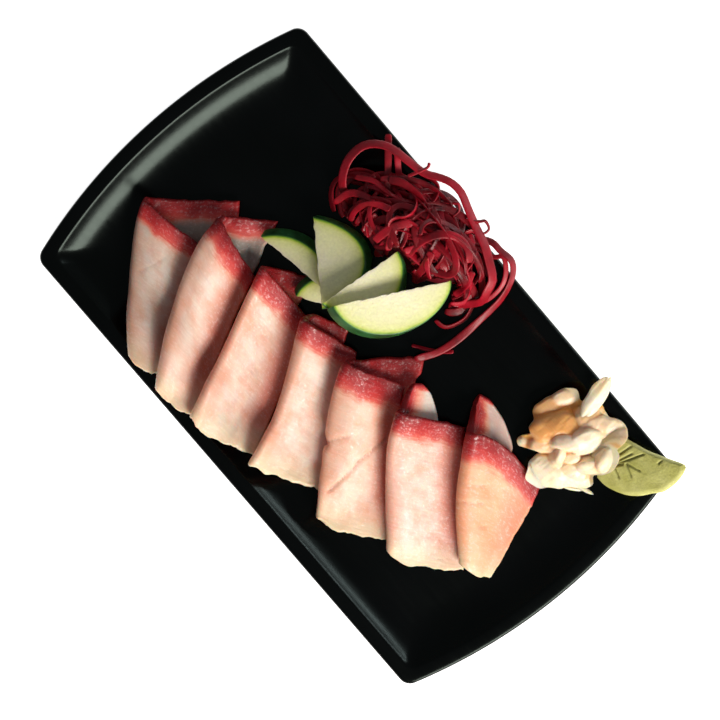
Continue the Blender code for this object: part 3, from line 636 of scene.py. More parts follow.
def raw_yellowtail(number, look):
    """Raw fish: blood line 8 to 13 mm wide, fibres 1.1 mm apart, wet grains of 0.5 mm."""
    material, tree = new_material(f"yellowtail_raw_{number}")
    down, across, tail, margin, cut = (
        measure(tree, name) for name in ("from_red", "across", "from_tail", "margin", "cut"))
    place = add(tree, "CombineXYZ", {"X": across, "Y": down, "Z": number * 7.0})
    lumps = spots(tree, place, 8.0, 3.0)
    lean = add(tree, "Mapping", {"Vector": place, "Rotation": (0, 0, 0.45),
                                 "Scale": (0.12, 1.0, 1.0)})
    streaks = spots(tree, lean, 1.1, 4.0, 0.6)

    # Muscle: pale in the middle and cream at the tail, with painted shade: peach by the fold, deep
    # pink by the free edge in the next slice's shadow, and the rear flap's colour, which is painted
    # shade on slices 3 to 5
    body = ramp(tree, lumps, [(0.1, look.warm), (0.62, look.pale)])
    by_edge = calc(tree, "MULTIPLY", span(tree, margin, 5.0, 17.0, 0.8, 0.0, "SMOOTHSTEP"),
                   span(tree, tail, 0.0, 22.0))
    for share, tint in ((span(tree, across, 0.0, 10.0, 0.85, 0.0), look.warm),
                        (span(tree, tail, 1.0, 15.0, 0.8, 0.0), "ead0ac"),
                        (by_edge, look.edge),
                        (span(tree, across, -8.0, -12.0, 0.0, 0.9), look.rear)):
        body = blend(tree, share, body, tint)

    # Blood line: a share of its width, counted from the red edge, or from the fold at the rear
    front_share = calc(tree, "MULTIPLY", down, 1 / (look.band * BAND_FADE))
    rear_share = calc(tree, "MULTIPLY", down, 1 / (look.rear_band * BAND_FADE))
    fold_share = calc(tree, "MULTIPLY", across, -1 / (look.fold_band * BAND_FADE))
    rear_share = calc(tree, "MINIMUM", rear_share, fold_share)
    share = add(tree, "Mix", {0: span(tree, across, -1.0, -3.0), 2: front_share, 3: rear_share},
                data_type="FLOAT")
    share = calc(tree, "MULTIPLY_ADD", lumps, 0.42, share)
    share = calc(tree, "MULTIPLY_ADD", streaks, 0.24, share)
    share = calc(tree, "SUBTRACT", share, 0.33)
    blood = ramp(tree, share, [(0.05, "84161a"), (0.26, "a82226"), (0.45, "c23a38"),
                               (0.60, "d3574b"), (0.76, "e08c76"), (1.0, look.pale)])
    flesh = blend(tree, span(tree, share, 0.58, 0.95, curve="SMOOTHSTEP"), blood, body)
    # Painted shade in the cuts: darker pink-brown where they are deepest
    flesh = blend(tree, calc(tree, "MULTIPLY", cut, 0.5), flesh, "b8705f")

    # Wet film: grains that catch the light, on a relief of fibres
    relief = calc(tree, "MULTIPLY_ADD", streaks, 0.7, spots(tree, place, 0.55, 2.0, 0.6))
    beads = spots(tree, place, 1.3, 3.0, 0.75)
    return finished(material, {
        "Base Color": shaded(tree, flesh, streaks, 0.3, 0.7, 0.94, 1.05),
        "Normal": bumped(tree, relief, 0.4 * MM, 0.35), "Roughness": 0.5, "IOR": 1.38,
        "Coat Normal": bumped(tree, relief, 0.4 * MM, 0.8),
        "Coat Weight": span(tree, beads, 0.54, 0.62, 0.03, 1.0),
        "Coat Roughness": 0.3, "Coat IOR": 2.1},
                    scatter=(0.65, (1.0, 0.3, 0.18), 5.5))


# %% [markdown]
# Seven materials differ only in these numbers: how wide the red band is on the front, at the
# rear and over the fold, and four colours. Each slice is then laid on the ones before it.

# %% Seven slices, one after another
# Each row: red band widths on the front, at the rear and over the fold in mm, then the pale flesh, a
# warm tone that also paints shade along the fold, painted shade for the margin under the next slice,
# and the rear flap's colour, dark as painted shade on slices 3 to 5
FLESH_LOOKS = (
    FleshLook(8.5, 9.5, 0.5, "dccabd", "cf9679", "bd5a42", "938880"),
    FleshLook(9.0, 9.0, 0.5, "e8d0c1", "de9b7c", "c65b43", "97928b"),
    FleshLook(10.0, 12.0, 0.5, "eed2c2", "e39878", "cd5b44", "8a5f58"),
    FleshLook(10.0, 12.0, 0.5, "efd2c3", "e49c7c", "ce5b45", "5f3034"),
    FleshLook(12.0, 16.0, 0.5, "efcab6", "e59e7e", "d05f48", "8f4a46"),
    FleshLook(9.5, 3.0, 7.0, "f2d2c4", "e8a288", "d26a54", "d4cac0"),
    FleshLook(13.0, 2.0, 8.0, "f2ba98", "e99e76", "e28f6e", "cdb6ad"))

for number, (form, look) in enumerate(zip(SLICES, FLESH_LOOKS), 1):
    slice_points, slice_measures = laid_slice(number, form)
    surface(f"yellowtail_slice_{number}", slice_points, sheet_faces(SLICE_COLUMNS, SLICE_ROWS),
            raw_yellowtail(number, look), f"slice_{number}", "yellowtail", **slice_measures)
    ground.add(slice_points)

# %% [markdown]
# ## The core of the nest
#
# A heap of ribbons is mostly hidden. A low dome stands in for its inside, painted the darkest
# crimson as shade, so it reads as depth between the ribbons that lie over it.

# %% A dome on uneven ground
DOME_RINGS, DOME_SECTORS = 26, 96


def dome(centre, radii, turn, height):
    """Points in rings: what is below, plus height times the root of 1 - r^2.4, with lumps."""
    share = np.linspace(0, 1, DOME_RINGS)[:, None] ** 0.8
    angle = np.linspace(0, 2 * np.pi, DOME_SECTORS, endpoint=False)[None, :]
    cos, sin = direction(turn)
    u, v = radii[0] * share * np.cos(angle), radii[1] * share * np.sin(angle)
    x, y = centre[0] + u * cos - v * sin, centre[1] + u * sin + v * cos
    low = ground.sample(ground.draped(4.0), x, y) + REST_GAP
    lumps = 1 + 0.10 * np.sin(3 * angle + 1.0) * share + 0.08 * np.sin(5 * angle)
    rise = 1.0 + height * np.sqrt(np.maximum(1 - share ** 2.4, 0)) * lumps
    rise = rise + 1.2 * noise(x, y, 0, 4.0, 5) * (1 - share ** 6)
    top = np.stack([x, y, low + rise], -1)
    base = np.stack([x, y, low], -1)
    stack = np.concatenate([base, top[::-1]])
    return stack.reshape(-1, 3), grid_quads(2 * DOME_RINGS, DOME_SECTORS, around=True)


CORE_CENTRE, CORE_RADII, CORE_TURN, CORE_HEIGHT = (-26.0, 62.0), (32.0, 15.0), 18.0, 9.0
beet_core = dome(CORE_CENTRE, CORE_RADII, CORE_TURN, CORE_HEIGHT)
bare_height = ground.height.copy()
ground.add(beet_core[0])
print("beet core up to", round(float(beet_core[0][:, 2].max()), 1), "mm")

# %% [markdown]
# ## Cucumber
#
# A cucumber cut on the bias gives long ovals, and each is halved along its length. A half-moon
# is a flat plate of flesh with a thin dark skin round its curved side. Its points run round
# the outline and from the middle to the rim, so each one knows how far it is from the skin.

# %% Five half-moons, fanned out
CUCUMBER_THICKNESS, SKIN_POINTS, CUT_POINTS = 4.2, 90, 60
HalfMoon = namedtuple("HalfMoon", "tip heading length depth pitch roll ends lean")
HALF_MOONS = (
    HalfMoon((-46, 0), 211.0, 38, 16, 8, 2, (1.2, 1.4), (1.5, -2.5)),
    HalfMoon((-79, 7), 190.0, 48, 12, -7, 6, (1.7, 1.3), (1.5, -4.2)),
    HalfMoon((-68, 33), 146.0, 46.5, 24, -12, 0, (1.75, 1.1), (1.5, -3.2)),
    HalfMoon((-27, 53), 84.0, 45.5, 21.5, -10, 14, (1.0, 1.7), (1.0, -4.2)),
    HalfMoon((-1, 62), 61.5, 60, 21, -12, 14, (1.15, 1.35), (-2.6, -2.4)))


def turned(points, heading, pitch, roll):
    """Points rolled about their x axis, pitched up along it, then turned to a heading."""
    cp, sp = np.cos(np.radians(pitch)), np.sin(np.radians(pitch))
    cr, sr = np.cos(np.radians(roll)), np.sin(np.radians(roll))
    ch, sh = direction(heading)
    roll_matrix = np.array([[1, 0, 0], [0, cr, -sr], [0, sr, cr]])
    pitch_matrix = np.array([[cp, 0, -sp], [0, 1, 0], [sp, 0, cp]])
    heading_matrix = np.array([[ch, -sh, 0], [sh, ch, 0], [0, 0, 1]])
    return points @ (heading_matrix @ pitch_matrix @ roll_matrix).T


def half_moon(number, length, depth, ends, lean):
    """Rings of points round a half oval: bottom middle, out, up the side, back to the middle.

    The outline is x = -L/2 (1 - cos t), y = -D sin(t)^n for the skin, with the straight cut
    from butt to tip as its other side; n runs from the tip's power to the butt's, and a
    power near 2 makes that end a straight-sided point. The lower face is shifted by lean.
    """
    turn = np.linspace(0, np.pi, SKIN_POINTS)
    swell = np.abs(np.sin(turn)) ** (ends[0] + (ends[1] - ends[0]) * turn / np.pi)
    skin = np.stack([-length / 2 * (1 - np.cos(turn)), -depth * swell], 1)
    chord = np.linspace(-length, 0, CUT_POINTS)[1:-1]
    ragged = 0.35 * noise(chord, 0, 0, 2.5, 100 + number)
    rim = np.concatenate([skin, np.stack([chord, ragged], 1)])
    middle = np.array([-length / 2, -depth * 0.42])
    shares = np.concatenate([np.linspace(0, 0.9, 16), [0.94, 0.965, 0.985, 0.995, 1.0]])
    heights = CUCUMBER_THICKNESS / 2 * np.concatenate([np.ones(18), [0.97, 0.90, 0.72]])
    rows = np.concatenate([np.stack([shares, -heights], 1), [(1.0, 0.0)],
                           np.stack([shares, heights], 1)[::-1]])
    share, z = rows[:, 0][:, None], rows[:, 1][:, None]
    flat = middle + (rim[None] - middle) * share[..., None]
    depth_share = 0.5 - z / CUCUMBER_THICKNESS
    x = flat[..., 0] + lean[0] * (depth_share - 0.5)
    y = flat[..., 1] + lean[1] * (depth_share - 0.5)
    marks = 0.06 * noise(x, y * 0.2, z, 1.2, 110 + number) * (share < 0.97)
    points = np.stack([x, y, z + marks * np.sign(z)], -1)
    to_skin = np.min(np.linalg.norm(flat[:, :, None, :] - skin[None, None], axis=-1), axis=2)
    return points, to_skin


# %% [markdown]
# Cucumber skin is dark green and waxy. Just under it lies a thin bright line of yellow-green,
# then firm flesh, then the watery middle with pale flat seeds. All of these are bands at a
# depth under the skin, so one ramp over that distance draws them.

# %% Cucumber, sliced raw


def cut_cucumber():
    """Raw cucumber: skin 0.8 mm, green layer to 3 mm, then pale wet flesh with seeds."""
    material, tree = new_material("cucumber_raw_cut")
    depth = measure(tree, "to_skin")
    place = object_place(tree)
    cells = spots(tree, place, 1.3 * MM, 3.0)
    clouds = spots(tree, place, 9 * MM)
    push = calc(tree, "SUBTRACT", calc(tree, "MULTIPLY_ADD", clouds, 1.0, depth), 0.5)
    flesh = ramp(tree, calc(tree, "MULTIPLY", push, 1 / 20.0),
                 [(0.03, "5d8a2a"), (0.055, "9db83c"), (0.085, "c3cc6a"), (0.15, "d6d894"),
                  (0.34, "dfdeac"), (1.0, "e6e3bf")])
    skin = ramp(tree, clouds, [(0.35, "183f18"), (0.65, "2d6434")])
    flesh = blend(tree, span(tree, depth, 0.25, 0.75), skin, flesh)
    seeds = add(tree, "TexVoronoi", {"Vector": place, "Scale": 1 / (5.5 * MM)}, feature="F1")
    seed = calc(tree, "MULTIPLY", span(tree, seeds, 0.22, 0.30, 0.22, 0.0),
                span(tree, depth, 5.0, 8.0))
    flesh = blend(tree, seed, flesh, "f2f0d2")
    return finished(material, {
        "Base Color": shaded(tree, flesh, cells, 0.3, 0.7, 0.93, 1.05),
        "Normal": bumped(tree, cells, 0.3 * MM, 0.5), "Roughness": 0.36, "IOR": 1.36},
                    scatter=(0.6, (0.8, 1.0, 0.4), 5.0))


cucumber = cut_cucumber()
footprint = Ground()
footprint.height[:] = 0.0
for number, moon in enumerate(HALF_MOONS, 1):
    moon_points, to_skin = half_moon(number, moon.length, moon.depth, moon.ends, moon.lean)
    rows, columns = moon_points.shape[:2]
    moon_points = turned(moon_points, moon.heading, moon.pitch, moon.roll) + (*moon.tip, 0)
    below = ground.sample(ground.raised(HARD_REACH), moon_points[..., 0], moon_points[..., 1])
    moon_points = moon_points + (0, 0, np.max(below - moon_points[..., 2]) + 0.4)
    surface(f"cucumber_half_moon_{number}", moon_points, grid_quads(rows, columns, around=True),
            cucumber, f"cucumber_{number}", "cucumber", to_skin=to_skin)
    ground.add(moon_points)
    footprint.add(moon_points * (1, 1, 0) + (0, 0, 1))

# %% [markdown]
# ## Beets
#
# The beets were turned through a spiral cutter, which leaves flat ribbons two to five
# millimetres wide that curl back on themselves. Each ribbon is a rounded strip carried along
# a smooth path. The ones that can be followed in the picture have their own paths; the rest
# are arcs drawn by a seed and laid over the core.

# %% Paths of the ribbons
RIBBON_STEPS, RIBBON_SIDES, RIBBON_THICKNESS, RIBBON_TWIST = 56, 10, 0.9, 35
ARC_COUNT, ARC_SEED, ARC_SPREAD, ARC_RADII, ARC_TURN = 110, 8, (28, 14), (8, 25), (2.0, 5.2)
ARC_HEIGHT, ARC_ROLL, ARC_WIDTH, ARC_LEAN = 13.0, 1.8, (2.0, 4.4), (-50, 50)
NEST_CENTRE, NEST_RADII, NEST_TURN = np.array((-27.0, 62.0)), (45.0, 27.0), 16.0
CHOSEN_RIBBONS = (
    ([(-60, 50, 14), (-70, 52, 20), (-77, 60, 23), (-79, 69, 25), (-77, 76, 26), (-70, 82, 27),
      (-58, 85, 27), (-49, 87, 27), (-43, 91, 27), (-37, 94, 27), (-30, 94.5, 28), (-22, 92, 29),
      (-12, 89, 29), (-4, 87, 30), (5, 83, 29), (12, 79, 28), (15, 73, 26), (17, 67, 20),
      (10, 56, 12)], 4.8, 18),
    ([(-12, 82, 22), (-3, 90, 24), (4, 91, 25), (11, 92, 25), (16, 89, 24), (20, 83, 23),
      (22.5, 76, 21), (23.5, 69, 19), (24, 61, 17), (24.5, 50, 15.5), (24, 40, 14.5),
      (22, 32, 14), (18, 24, 14)], 4.0, 30),
    ([(-14, 80, 23), (3, 86, 25), (7, 90, 26), (14, 86, 25), (18, 79, 23), (18, 69, 19),
      (12, 60, 14), (2, 56, 13)], 2.6, 35),
    ([(-52, 66, 20), (-60, 73, 22), (-68, 80, 23), (-75, 86, 23)], 3.4, 12),
    ([(-46, 72, 21), (-56, 77, 22), (-62, 81, 24), (-67, 85, 24)], 3.2, 25),
    ([(-6, 56, 15), (4, 64, 15), (9, 68, 15), (15, 65, 14), (19, 56, 13), (16, 46, 12),
      (8, 44, 13)], 2.6, 55),
    ([(-67, 44, 18), (-66, 52, 22), (-61, 57, 24), (-51, 61, 25), (-40, 64, 26), (-30, 67, 26),
      (-22, 68, 27), (-12, 66, 25)], 3.8, 15),
    ([(-61, 69, 24), (-55, 76, 26), (-48, 82, 27), (-39, 86, 28), (-28, 87, 28)], 3.0, -20),
    ([(-58, 72, 26), (-52, 76, 28), (-43, 78, 29), (-36, 77, 29), (-26, 77, 29), (-16, 72, 27)],
     4.2, -12),
    ([(-10, 88, 27), (-13, 86, 28), (-15, 78, 28), (-17, 69, 27), (-14, 60, 24)], 2.4, 50),
    ([(-12, 85, 27), (-7, 82, 27), (-5, 73, 26), (-5, 65, 23), (-9, 56, 20)], 3.4, 40),
    ([(-53, 80, 27), (-51, 86, 28), (-50, 90, 29), (-51, 92, 30)], 1.7, 30),
    ([(-33, 84, 27), (-29, 88, 28), (-27, 90, 29), (-24, 88, 28), (-24, 84, 27)], 1.5, 60),
    ([(-19, 88, 28), (-14, 92, 29), (-12, 94.5, 29), (-8, 93.5, 28), (-8, 90, 28), (-11, 88, 28)],
     1.6, 65),
    ([(12, 27, 12), (18, 31, 11), (24, 36, 11), (28, 41, 12)], 2.2, 30),
    ([(-46, 50, 17), (-38, 54, 20), (-30, 57, 21), (-22, 57, 21), (-14, 55, 19), (-6, 52, 16)],
     4.0, 15),
    ([(-42, 48, 14), (-34, 51, 16), (-27, 54, 17), (-20, 54, 17), (-12, 51, 15)], 3.4, 10),
    ([(-16, 62, 20), (-12, 56, 19), (-8, 51, 17), (-4, 48, 15)], 3.2, 30),
    ([(-26, 66, 22), (-22, 60, 20), (-17, 54, 18), (-10, 50, 15), (-2, 48, 13)], 3.5, -15),
    ([(-70, 60, 22), (-62, 66, 24), (-52, 68, 26), (-44, 72, 27), (-36, 80, 28), (-40, 88, 27),
      (-50, 86, 26)], 2.8, 30))


def smooth_path(points, count):
    """Evenly spaced points on a Catmull-Rom curve through the given ones."""
    points = np.asarray(points, float)
    padded = np.concatenate([[2 * points[0] - points[1]], points, [2 * points[-1] - points[-2]]])
    p, q, r, s = (padded[k:len(padded) - 3 + k, None] for k in range(4))
    t = np.linspace(0, 1, 9)[None, :, None]
    curve = 0.5 * (2 * q + (r - p) * t + (2 * p - 5 * q + 4 * r - s) * t ** 2
                   + (3 * q - p - 3 * r + s) * t ** 3).reshape(-1, 3)
    travelled = np.append(0, np.cumsum(np.linalg.norm(np.diff(curve, axis=0), axis=1)))
    wanted = np.linspace(0, travelled[-1], count)
    return np.stack([np.interp(wanted, travelled, curve[:, k]) for k in range(3)], 1)


def arc_paths(rng, below):
    """Arcs and coils over the core: an ellipse's angle runs on, and the height rolls with it."""
    paths = []
    level = below.draped(SOFT_REACH)
    for _ in range(ARC_COUNT):
        middle = NEST_CENTRE + rng.uniform(-1, 1, 2) * ARC_SPREAD
        radii = rng.uniform(*ARC_RADII, 2) * (1.25, 0.85)
        angle = rng.uniform(0, 2 * np.pi) + np.linspace(0, rng.uniform(*ARC_TURN), 13)
        x = middle[0] + radii[0] * np.cos(angle)
        y = middle[1] + radii[1] * np.sin(angle)
        off = np.stack([x, y], 1) - NEST_CENTRE
        share = np.hypot(off @ direction(NEST_TURN) / NEST_RADII[0],
                         off @ direction(NEST_TURN + 90) / NEST_RADII[1])
        inside = np.flatnonzero(share < 1)
        if len(inside) < 5:
            continue
        heap = ARC_HEIGHT * np.sqrt(np.maximum(1 - share ** 2, 0.0)) * rng.uniform(0.15, 1.0)
        roll = ARC_ROLL * np.sin(angle * 1.5 + rng.uniform(0, 6))
        z = below.sample(level, x, y) + 0.8 + heap + roll
        path = np.stack([x, y, z], 1)[inside[0]:inside[-1] + 1]
        paths.append((path, rng.uniform(*ARC_WIDTH), rng.uniform(*ARC_LEAN)))
    return paths


# %% [markdown]
# The strip's section is a rounded rectangle. It leans by some angle from level, the lean drifts
# along the way as a real ribbon twists, and both ends taper. Where a path would run under a
# cucumber it stops short of it.

# %% The ribbons' surface


def free_stretches(path, covered):
    """Stretches of a path with no cucumber over them, spaced evenly again."""
    free = ground.sample(covered, path[:, 0], path[:, 1]) < 0.01
    change = np.flatnonzero(np.diff(np.concatenate([[0], free.astype(int), [0]])))
    return [smooth_path(path[start:end], RIBBON_STEPS)
            for start, end in zip(change[::2], change[1::2]) if end - start > 9]


def ribbon(path, width, lean, number):
    """Grid round a strip: path + side * w/2 * c(u) + face * t/2 * s(u), closed at both ends."""
    share = np.linspace(0, 1, len(path))
    tangent = unit(np.gradient(path, axis=0))
    level = unit(np.cross(tangent, (0, 0, 1.0)) + (1e-4, 0, 0))
    upright = np.cross(level, tangent)
    angle = np.radians(lean + RIBBON_TWIST * noise(share * 10, 0, 0, 4.0, 300 + number))
    side = level * np.cos(angle)[:, None] + upright * np.sin(angle)[:, None]
    face = np.cross(side, tangent)
    turn = np.linspace(0, 2 * np.pi, RIBBON_SIDES, endpoint=False)
    c = np.sign(np.cos(turn)) * np.abs(np.cos(turn)) ** 0.45
    s = np.sign(np.sin(turn)) * np.abs(np.sin(turn)) ** 0.6
    taper = np.clip(0.6 + 14 * np.minimum(share, 1 - share), 0, 1)
    swell = 1 + 0.07 * noise(share * 60, 0, 0, 9.0, 400 + number)
    half_width = (width / 2 * taper * swell)[:, None, None]
    half_thick = (RIBBON_THICKNESS / 2 * np.minimum(taper * 1.6, 1))[:, None, None]
    rings = (path[:, None] + side[:, None] * c[None, :, None] * half_width
             + face[:, None] * s[None, :, None] * half_thick)
    ends = np.mean(rings[[0, -1]], axis=1, keepdims=True)
    cap = np.repeat(ends, rings.shape[1], axis=1)
    return np.concatenate([cap[:1], rings, cap[1:]])


# %% [markdown]
# Cut beet is a deep wet crimson. Rings of growth cross the ribbons as lighter and darker
# bands, and dried edges catch the light in dull pink. Each ribbon also has its own tone, kept
# as one number for each point; the core's number is the lowest, which paints it dark as shade.

# %% Beets, cut raw into ribbons


def raw_beet():
    """Raw beet: growth rings 9 mm apart, fibres 0.6 mm, a wet film over a soft crimson."""
    material, tree = new_material("beet_raw_spiral_cut")
    shade = measure(tree, "shade")
    place = object_place(tree)
    mixed = calc(tree, "MULTIPLY_ADD", shade, 0.45, spots(tree, place, 9 * MM, 3.0))
    tone = ramp(tree, mixed, [(0.35, "45020a"), (0.6, "7c0514"), (0.85, "a00a1f"),
                              (1.0, "b51a2f")])
    strand = add(tree, "CombineXYZ", {"X": measure(tree, "along"), "Y": shade})
    lighter = span(tree, spots(tree, strand, 6.25), 0.5, 0.75, 0.0, 0.3)
    return finished(material, {
        "Base Color": blend(tree, lighter, tone, "a02334"),
        "Normal": bumped(tree, spots(tree, place, 0.6 * MM), 0.35 * MM, 0.5),
        "Roughness": 0.4, "IOR": 1.38, "Coat Weight": 0.1, "Coat Roughness": 0.2},
                    scatter=(0.12, (1.0, 0.15, 0.12), 1.0))


below = Ground()
below.height = bare_height
below.add(beet_core[0])
resting = below.draped(2.0) + REST_GAP
covered = footprint.raised(HARD_REACH)
rng = np.random.default_rng(ARC_SEED)
strips = []
for number, (path, width, lean) in enumerate(list(CHOSEN_RIBBONS) + arc_paths(rng, below)):
    for path in free_stretches(smooth_path(path, RIBBON_STEPS), covered):
        tilt = width / 2 * abs(np.sin(np.radians(lean)))
        lowest = below.sample(resting, path[:, 0], path[:, 1]) + tilt + RIBBON_THICKNESS / 2
        path[:, 2] = np.maximum(path[:, 2], lowest)
        strips.append(ribbon(path, width, lean, number))
strips = np.array(strips)
count, rows, columns = strips.shape[:3]
ribbon_faces = np.concatenate([grid_quads(rows, columns, k * rows * columns, around=True)
                               for k in range(count)])
shades = np.broadcast_to(rng.uniform(0, 1, (count, 1, 1)), strips.shape[:3])
travel = np.broadcast_to(np.arange(rows)[None, :, None] * 1.2 + 90 * shades, strips.shape[:3])
beet = raw_beet()
surface("beet_ribbons", strips, ribbon_faces, beet, "beet_nest", "beets", shade=shades, along=travel)
# Painted shade: the core takes the lowest number, the darkest crimson
surface("beet_heap_core", beet_core[0], beet_core[1], beet, "beet_nest", "beets",
        shade=np.full(len(beet_core[0]), -1.0), along=np.zeros(len(beet_core[0])))
print("ribbons:", count)

# %% [markdown]
# ## Wasabi
#
# Wasabi paste was pressed into a leaf with a blunt knife, which also drew its rib and a few side
# veins. The leaf is a thick sheet whose breadth is given at eight places on either side of the
# line from butt to tip. It leans over the plate's corner with its tip in the air.

# %% A leaf of paste
WASABI_TIP, WASABI_HEADING, WASABI_PITCH = (141.6, 92.0), 57.0, 26.0
WASABI_LENGTH, WASABI_THICKNESS, GROOVE_WIDTH, GROOVE_DEPTH = 45.0, 6.0, 0.5, 0.9
LEAF_COLUMNS, LEAF_ROWS = 170, 120
# Way from the butt, breadth on the right side and on the left side of the middle line
LEAF_STATIONS = ((0, 4, 8), (4.5, 9, 12.5), (13.5, 13.2, 15.5), (22.5, 13.9, 11),
                 (31.5, 12.6, 6.2), (38.3, 9, 3.4), (42.8, 4.6, 1.6), (45, 0.3, 0.3))
# Strokes of the knife from and to, as places behind the tip and left of the middle line
STROKES = (
    ((-42.9, 0.7), (-28.9, 2.8)), ((-33.8, 2.7), (-18.2, 7.3)), ((-34.0, 3.7), (-24.1, 8.0)),
    ((-35.3, 5.4), (-24.2, 11.8)), ((-28.9, 2.8), (-26.5, -4.7)), ((-34.9, 0.9), (-32.8, -5.3)),
    ((-28.9, 3.1), (-21.1, -1.7)), ((-12.6, 1.9), (-9.7, 4.0)))


def groove(x, y, start, end, width):
    """Bell-shaped groove along a straight line on the leaf, fading out at both ends."""
    along, off, length = along_line(x, y, start, end)
    return np.exp(-(off / width) ** 2) * ease(along / 1.0 + 0.5) * ease((length - along) / 2.0)


def leaf_surface():
    """Leaf between its two sides, flat above, rounded off over 3.4 mm right and 1.6 mm left."""
    u, v = np.meshgrid(dense_ends(0, 1, LEAF_COLUMNS, 0.6), dense_ends(-1, 1, LEAF_ROWS),
                       indexing="ij")
    way, right, left = smooth_path(LEAF_STATIONS, 80).T
    x = -WASABI_LENGTH * (1 - u)
    rough = 1 + 0.03 * noise(40 * u, 0, 0, 6.0, 7)
    low_side = -np.interp(WASABI_LENGTH + x, way, right) * rough
    breadth = np.interp(WASABI_LENGTH + x, way, left) * rough - low_side
    y = low_side + breadth * (v + 1) / 2
    z = 0.8 * (1 - v ** 2) * np.sqrt(breadth / breadth.max())
    to_side = breadth / 2 * np.minimum((1 + v) / 3.4, (1 - v) / 1.6)
    to_end = WASABI_LENGTH * np.minimum(u / 1.6, (1 - u) / 2.4)
    near = np.clip(np.minimum(to_side, to_end), 0.0, 1.0)
    half = WASABI_THICKNESS / 2 * np.sqrt(np.maximum(1 - (1 - near) ** 2, 0.02))
    cuts = np.max([groove(x, y, start, end, GROOVE_WIDTH) for start, end in STROKES], axis=0)
    grain = 0.16 * noise(x, y, z, 3.5, 8) + 0.07 * noise(x, y, z, 0.8, 9)
    middle = np.stack([x, y, z], -1)
    normal = normals(middle)
    normal = normal * np.sign(normal[..., 2:].mean())
    points = thick_sheet(middle, normal, half + grain * near - GROOVE_DEPTH * cuts,
                         half + 0.6 * grain * near)
    points = turned(points, WASABI_HEADING, WASABI_PITCH, 0.0) + (*WASABI_TIP, 0)
    base = ground.sample(ground.raised(HARD_REACH), points[:, 0], points[:, 1])
    return points + (0, 0, np.max(base - points[:, 2]) + 0.4), np.tile(cuts.ravel(), 2)


# %% [markdown]
# Wasabi paste is dull and grainy, like wet plaster: no film of water, almost no gloss, and tiny
# pits where the blade dragged. Its colour is darker and browner in the knife's grooves.

# %% Wasabi paste, pressed with a knife


def pressed_wasabi():
    """Wasabi paste: rough 0.62, pits 0.8 mm, browner in the grooves."""
    material, tree = new_material("wasabi_paste_pressed")
    place = object_place(tree)
    pits = spots(tree, place, 0.8 * MM, 4.0, 0.65)
    tone = ramp(tree, spots(tree, place, 8 * MM, 4.0), [(0.3, "aead58"), (0.7, "c6c57a")])
    tone = shaded(tree, tone, pits, 0.3, 0.65, 0.86, 1.06)
    pressed = calc(tree, "MULTIPLY", measure(tree, "pressed"), 0.75)
    return finished(material, {
        "Base Color": blend(tree, pressed, tone, "6f7030"),
        "Normal": bumped(tree, pits, 0.5 * MM, 0.4), "Roughness": 0.62},
                    scatter=(0.1, (0.8, 1.0, 0.3), 1.0))


leaf_points, leaf_pressed = leaf_surface()
surface("wasabi_paste_leaf", leaf_points, sheet_faces(LEAF_COLUMNS, LEAF_ROWS), pressed_wasabi(),
        "wasabi_leaf", "wasabi", pressed=leaf_pressed)
ground.add(leaf_points)

# %% [markdown]
# ## Pickled ginger
#
# Pickled ginger is shaved across the root, so each piece is a limp oval petal about a
# millimetre thick. Pinched together with chopsticks, wet petals cling to each other, and the
# heap reads as one skin of rounded lobes that lap over each other with soft lips. So the heap
# is one surface: at each place it takes the highest of a set of domed ovals, blended.

# %% The heap of petals that cling together
HEAP_CENTRE, HEAP_ANGLES, HEAP_RINGS, HEAP_SIDES = (101.0, 55.0), 360, 120, 14
HEAP_REACH, HEAP_OVER, HEAP_LEAST, HEAP_FOOT, HEAP_EVENING = (6.0, 36.0), 0.4, 1.6, 1.5, 30
LOBE_LIP, LOBE_DROP, LOBE_FALL, LOBE_BLEND, LOBE_POWER = 1.5, 1.9, 2.5, 0.3, 2.4
Lobe = namedtuple("Lobe", "centre heading length width dome lean orange")
# Each lobe's orange share is partly painted shade: high on the lobes away from the light, low on the
# lit ones
LOBES = (
    Lobe((97, 61, 17.0), 60, 19, 15.5, 3.0, 0.0, 0.8),
    Lobe((108, 42.5, 18.5), 48, 17.5, 9.5, 3.5, 0.15, 0.0),
    Lobe((119, 48, 14.5), 31, 6.5, 4, 1.5, 0.05, 0.05),
    Lobe((93, 46.5, 21.0), 41, 8, 4.5, 2.0, 0.1, 0.5),
    Lobe((89.5, 56, 23.0), 61, 13.5, 7.5, 3.0, -0.12, 0.95),
    Lobe((81, 59, 17.5), 73, 8.5, 6, 2.0, 0.15, 0.8),
    Lobe((81, 69, 18.0), 67, 7, 4.5, 1.5, 0.1, 0.4),
    Lobe((100, 50, 25.0), 125, 6.5, 2.8, 1.6, 0.25, 0.1),
    Lobe((98, 55, 26.0), 44, 7, 3.8, 1.4, -0.2, 0.1),
    Lobe((104, 62, 25.0), 70, 9, 6, 1.3, 0.3, 0.05),
    Lobe((106, 52, 22.5), 60, 4.5, 3.2, 1.0, 0.1, 0.1),
    Lobe((106, 71, 23.0), 54, 12, 8.5, 2.0, 0.25, 0.3),
    Lobe((96, 71, 22.5), 64, 7, 5.5, 1.2, -0.1, 0.6),
    Lobe((116, 57, 23.5), 50, 8, 4.2, 1.8, 0.3, 0.1),
    Lobe((117.5, 64.5, 26.5), 110, 7, 5, 2.2, 0.3, 0.1),
    Lobe((112, 48, 20.0), 25, 7, 3.8, 1.2, 0.3, 0.05),
    Lobe((86.5, 40.5, 15.0), 50, 5, 3.8, 1.6, 0.1, 0.1))


